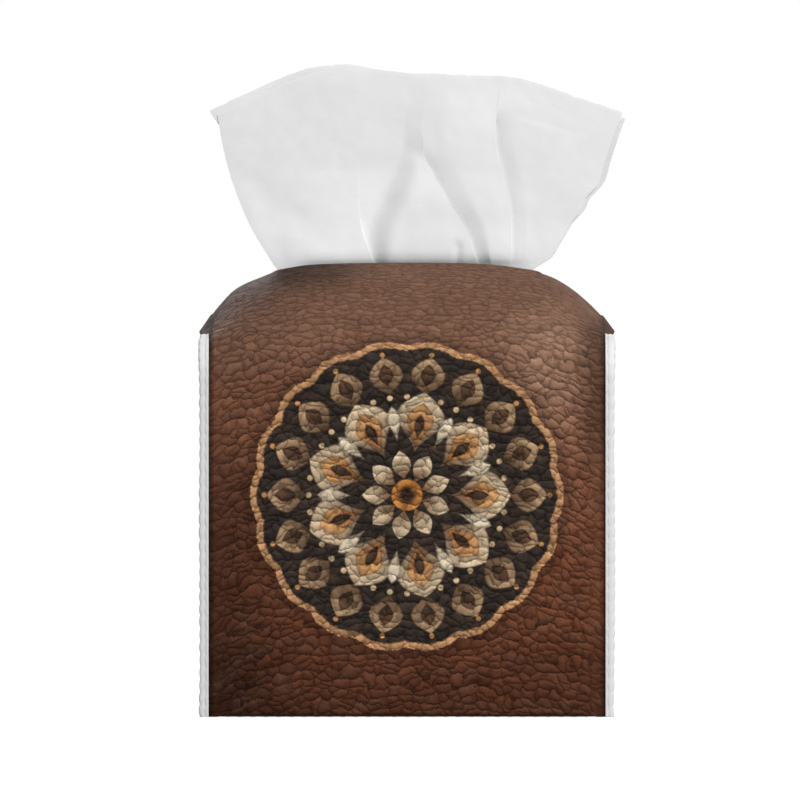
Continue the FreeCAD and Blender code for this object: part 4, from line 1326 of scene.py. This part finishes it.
def tissue_pile():
    """The folded sheets, each a flat loop with soft folded ends, lying on one another."""
    builder = Builder()
    rng = np.random.default_rng(91)
    x = PILE_HALF_WIDTH * np.sin(np.linspace(-1, 1, 25) * math.pi / 2)
    half = (PILE_TOP - PILE_FOOT) / PILE_LAYERS * 0.46
    flat = np.linspace(-1, 1, 15)
    turn = np.linspace(-math.pi / 2, math.pi / 2, 7)[1:-1]
    for number in range(PILE_LAYERS):
        wide = 1.0 - rng.uniform(0.0, 0.008)
        deep = PILE_HALF_DEPTH - rng.uniform(0.0, 0.9)
        aside = rng.uniform(-0.35, 0.35)
        reach = deep - half
        section = np.concatenate([
            grid(flat * reach, -half),
            grid(reach + half * np.cos(turn), half * np.sin(turn)),
            grid(flat[::-1] * reach, half),
            grid(-reach - half * np.cos(turn[::-1]), half * np.sin(turn[::-1])),
        ])
        depth, height = section[:, :1], section[:, 1:]
        px = x * wide + aside * 0.5
        ragged = 0.28 * noise2(px / 9.0, number * 1.7, 93)
        ragged = ragged + 0.12 * noise2(px / 2.6, number * 2.3, 94)
        py = depth + np.sign(depth) * (ragged - 0.4) * smooth(0.7, 1.0, np.abs(depth) / deep)
        # The pile is a little uneven, most of all near its top.
        share = (number + 0.5) / PILE_LAYERS
        uneven = 0.5 + 0.5 * noise2(px / 37.0 + 3, py / 33.0 + 5, 92)
        level = PILE_FOOT + (PILE_TOP - PILE_FOOT) * share - 1.6 * uneven * share
        pz = level + height * (0.86 + 0.10 * noise2(px / 13.0, py / 13.0, 95))
        along = np.arange(len(section))[:, None] * 4.0
        index = builder.add(grid(px, py, pz), grain=grid(px, along))
        builder.face(quads(np.concatenate([index, index[:1]])))
        for ring in (index[::-1, 0], index[:, -1]):
            builder.face(ring[None])
    return builder.build("tissue_pile_sheets", [PAPER])


flap = place_piece(base_flap(), "flap", "base_flap")
ledge = place_piece(closure_ledge(), "cover", "closure_ledge")
loops = grip_tape("loop_tape_nylon", LOOPS, 3.3, 2.85, -1.0, 85, False)
place_piece(loops, "cover", "loop_tape")
hooks = grip_tape("hook_tape_nylon", HOOKS, 1.2, 1.7, 1.0, 86, True)
place_piece(hooks, "flap", "hook_tape")
place_piece(tissue_pile(), "cover", "tissue_pile")


# Stage, light, camera

WHITE = (1.0, 1.0, 1.0, 1.0)
WORLD_LIGHT = 0.37
FLOOR_LEVEL = -0.4
FLOOR_GLOW = 0.93
FLOOR_TONE = (0.18, 0.18, 0.18, 1.0)
FLOOR_RINGS = (150.0, 400.0, 1200.0, 5000.0, 24000.0)
LAMP_TARGET = Vector((0.0, 0.0, 0.10))
# Name, place, size and power of each lamp.
LAMPS = (
    ("key", (1.05, -1.60, 1.45), 0.6, 42.0),
    ("fill", (-1.5, -1.3, 0.6), 1.2, 1.5),
    ("rim", (-0.5, 1.8, 1.2), 1.0, 14.0),
)


def stage_node(tree, kind, *feeds, **values):
    """A new node with other nodes' outputs joined to its first inputs, and values by name."""
    made = tree.nodes.new("ShaderNode" + kind)
    for socket, feed in zip(made.inputs, feeds):
        tree.links.new(feed, socket)
    for key, value in values.items():
        made.inputs[key].default_value = value
    return made


def view_share(tree):
    """1 for the kinds of ray that look at the surroundings directly."""
    path = stage_node(tree, "LightPath")
    total = path.outputs["Is Camera Ray"]
    for kind in ("Is Glossy Ray", "Is Transmission Ray"):
        made = stage_node(tree, "Math", total, path.outputs[kind])
        made.operation = "MAXIMUM"
        total = made.outputs[0]
    return total


def surroundings(scene):
    """A white world, which lights the part less than it shows."""
    scene.world = bpy.data.worlds.new("studio")
    scene.world.use_nodes = True
    tree = scene.world.node_tree
    lit = tree.nodes["Background"]
    lit.inputs["Color"].default_value = WHITE
    lit.inputs["Strength"].default_value = WORLD_LIGHT
    plain = stage_node(tree, "Background", Color=WHITE, Strength=1.0)
    mixed = stage_node(tree, "MixShader", view_share(tree), lit.outputs[0], plain.outputs[0])
    tree.links.new(mixed.outputs[0], tree.nodes["World Output"].inputs[0])


def pale_floor():
    """A wide glowing floor that is clear from below and lets the light through."""
    builder = Builder()
    radius = np.array(FLOOR_RINGS)[:, None]
    ring = circle(96)
    index = builder.add(grid(radius * np.cos(ring), radius * np.sin(ring), FLOOR_LEVEL))
    builder.face(quads(np.concatenate([index, index[:, :1]], axis=1), True))
    builder.face(index[0][None])
    material = bpy.data.materials.new("pale_floor")
    material.use_nodes = True
    tree = material.node_tree
    tree.nodes.clear()
    glow = stage_node(tree, "Emission", Strength=FLOOR_GLOW)
    matt = stage_node(tree, "BsdfDiffuse", Color=FLOOR_TONE)
    both = stage_node(tree, "AddShader", glow.outputs[0], matt.outputs[0]).outputs[0]
    clear = stage_node(tree, "BsdfTransparent").outputs[0]
    below = stage_node(tree, "NewGeometry").outputs["Backfacing"]
    seen = stage_node(tree, "MixShader", below, both, clear).outputs[0]
    pick = stage_node(tree, "MixShader", view_share(tree), clear, seen).outputs[0]
    stage_node(tree, "OutputMaterial", pick)
    return builder.build("pale_floor", [material], closed=False)


def studio():
    scene = bpy.context.scene
    scene.view_settings.view_transform = "Standard"
    surroundings(scene)
    floor = pale_floor()
    for name, place, size, power in LAMPS:
        lamp = bpy.data.lights.new(name, "AREA")
        lamp.size = size
        lamp.energy = power
        thing = bpy.data.objects.new(name, lamp)
        thing.location = place
        thing.rotation_euler = (LAMP_TARGET - Vector(place)).to_track_quat("-Z", "Y").to_euler()
        scene.collection.objects.link(thing)
    lens = bpy.data.cameras.new("camera")
    lens.sensor_width = SENSOR
    lens.lens = SENSOR * VIEW_DISTANCE / VIEW_WIDTH
    lens.clip_end = 100.0
    camera = bpy.data.objects.new("camera", lens)
    camera.location = Vector((VIEW_X, -VIEW_DISTANCE - HALF_DEPTH, VIEW_Z)) * MM
    camera.rotation_euler = (math.pi / 2, 0.0, 0.0)
    scene.collection.objects.link(camera)
    scene.camera = camera


studio()
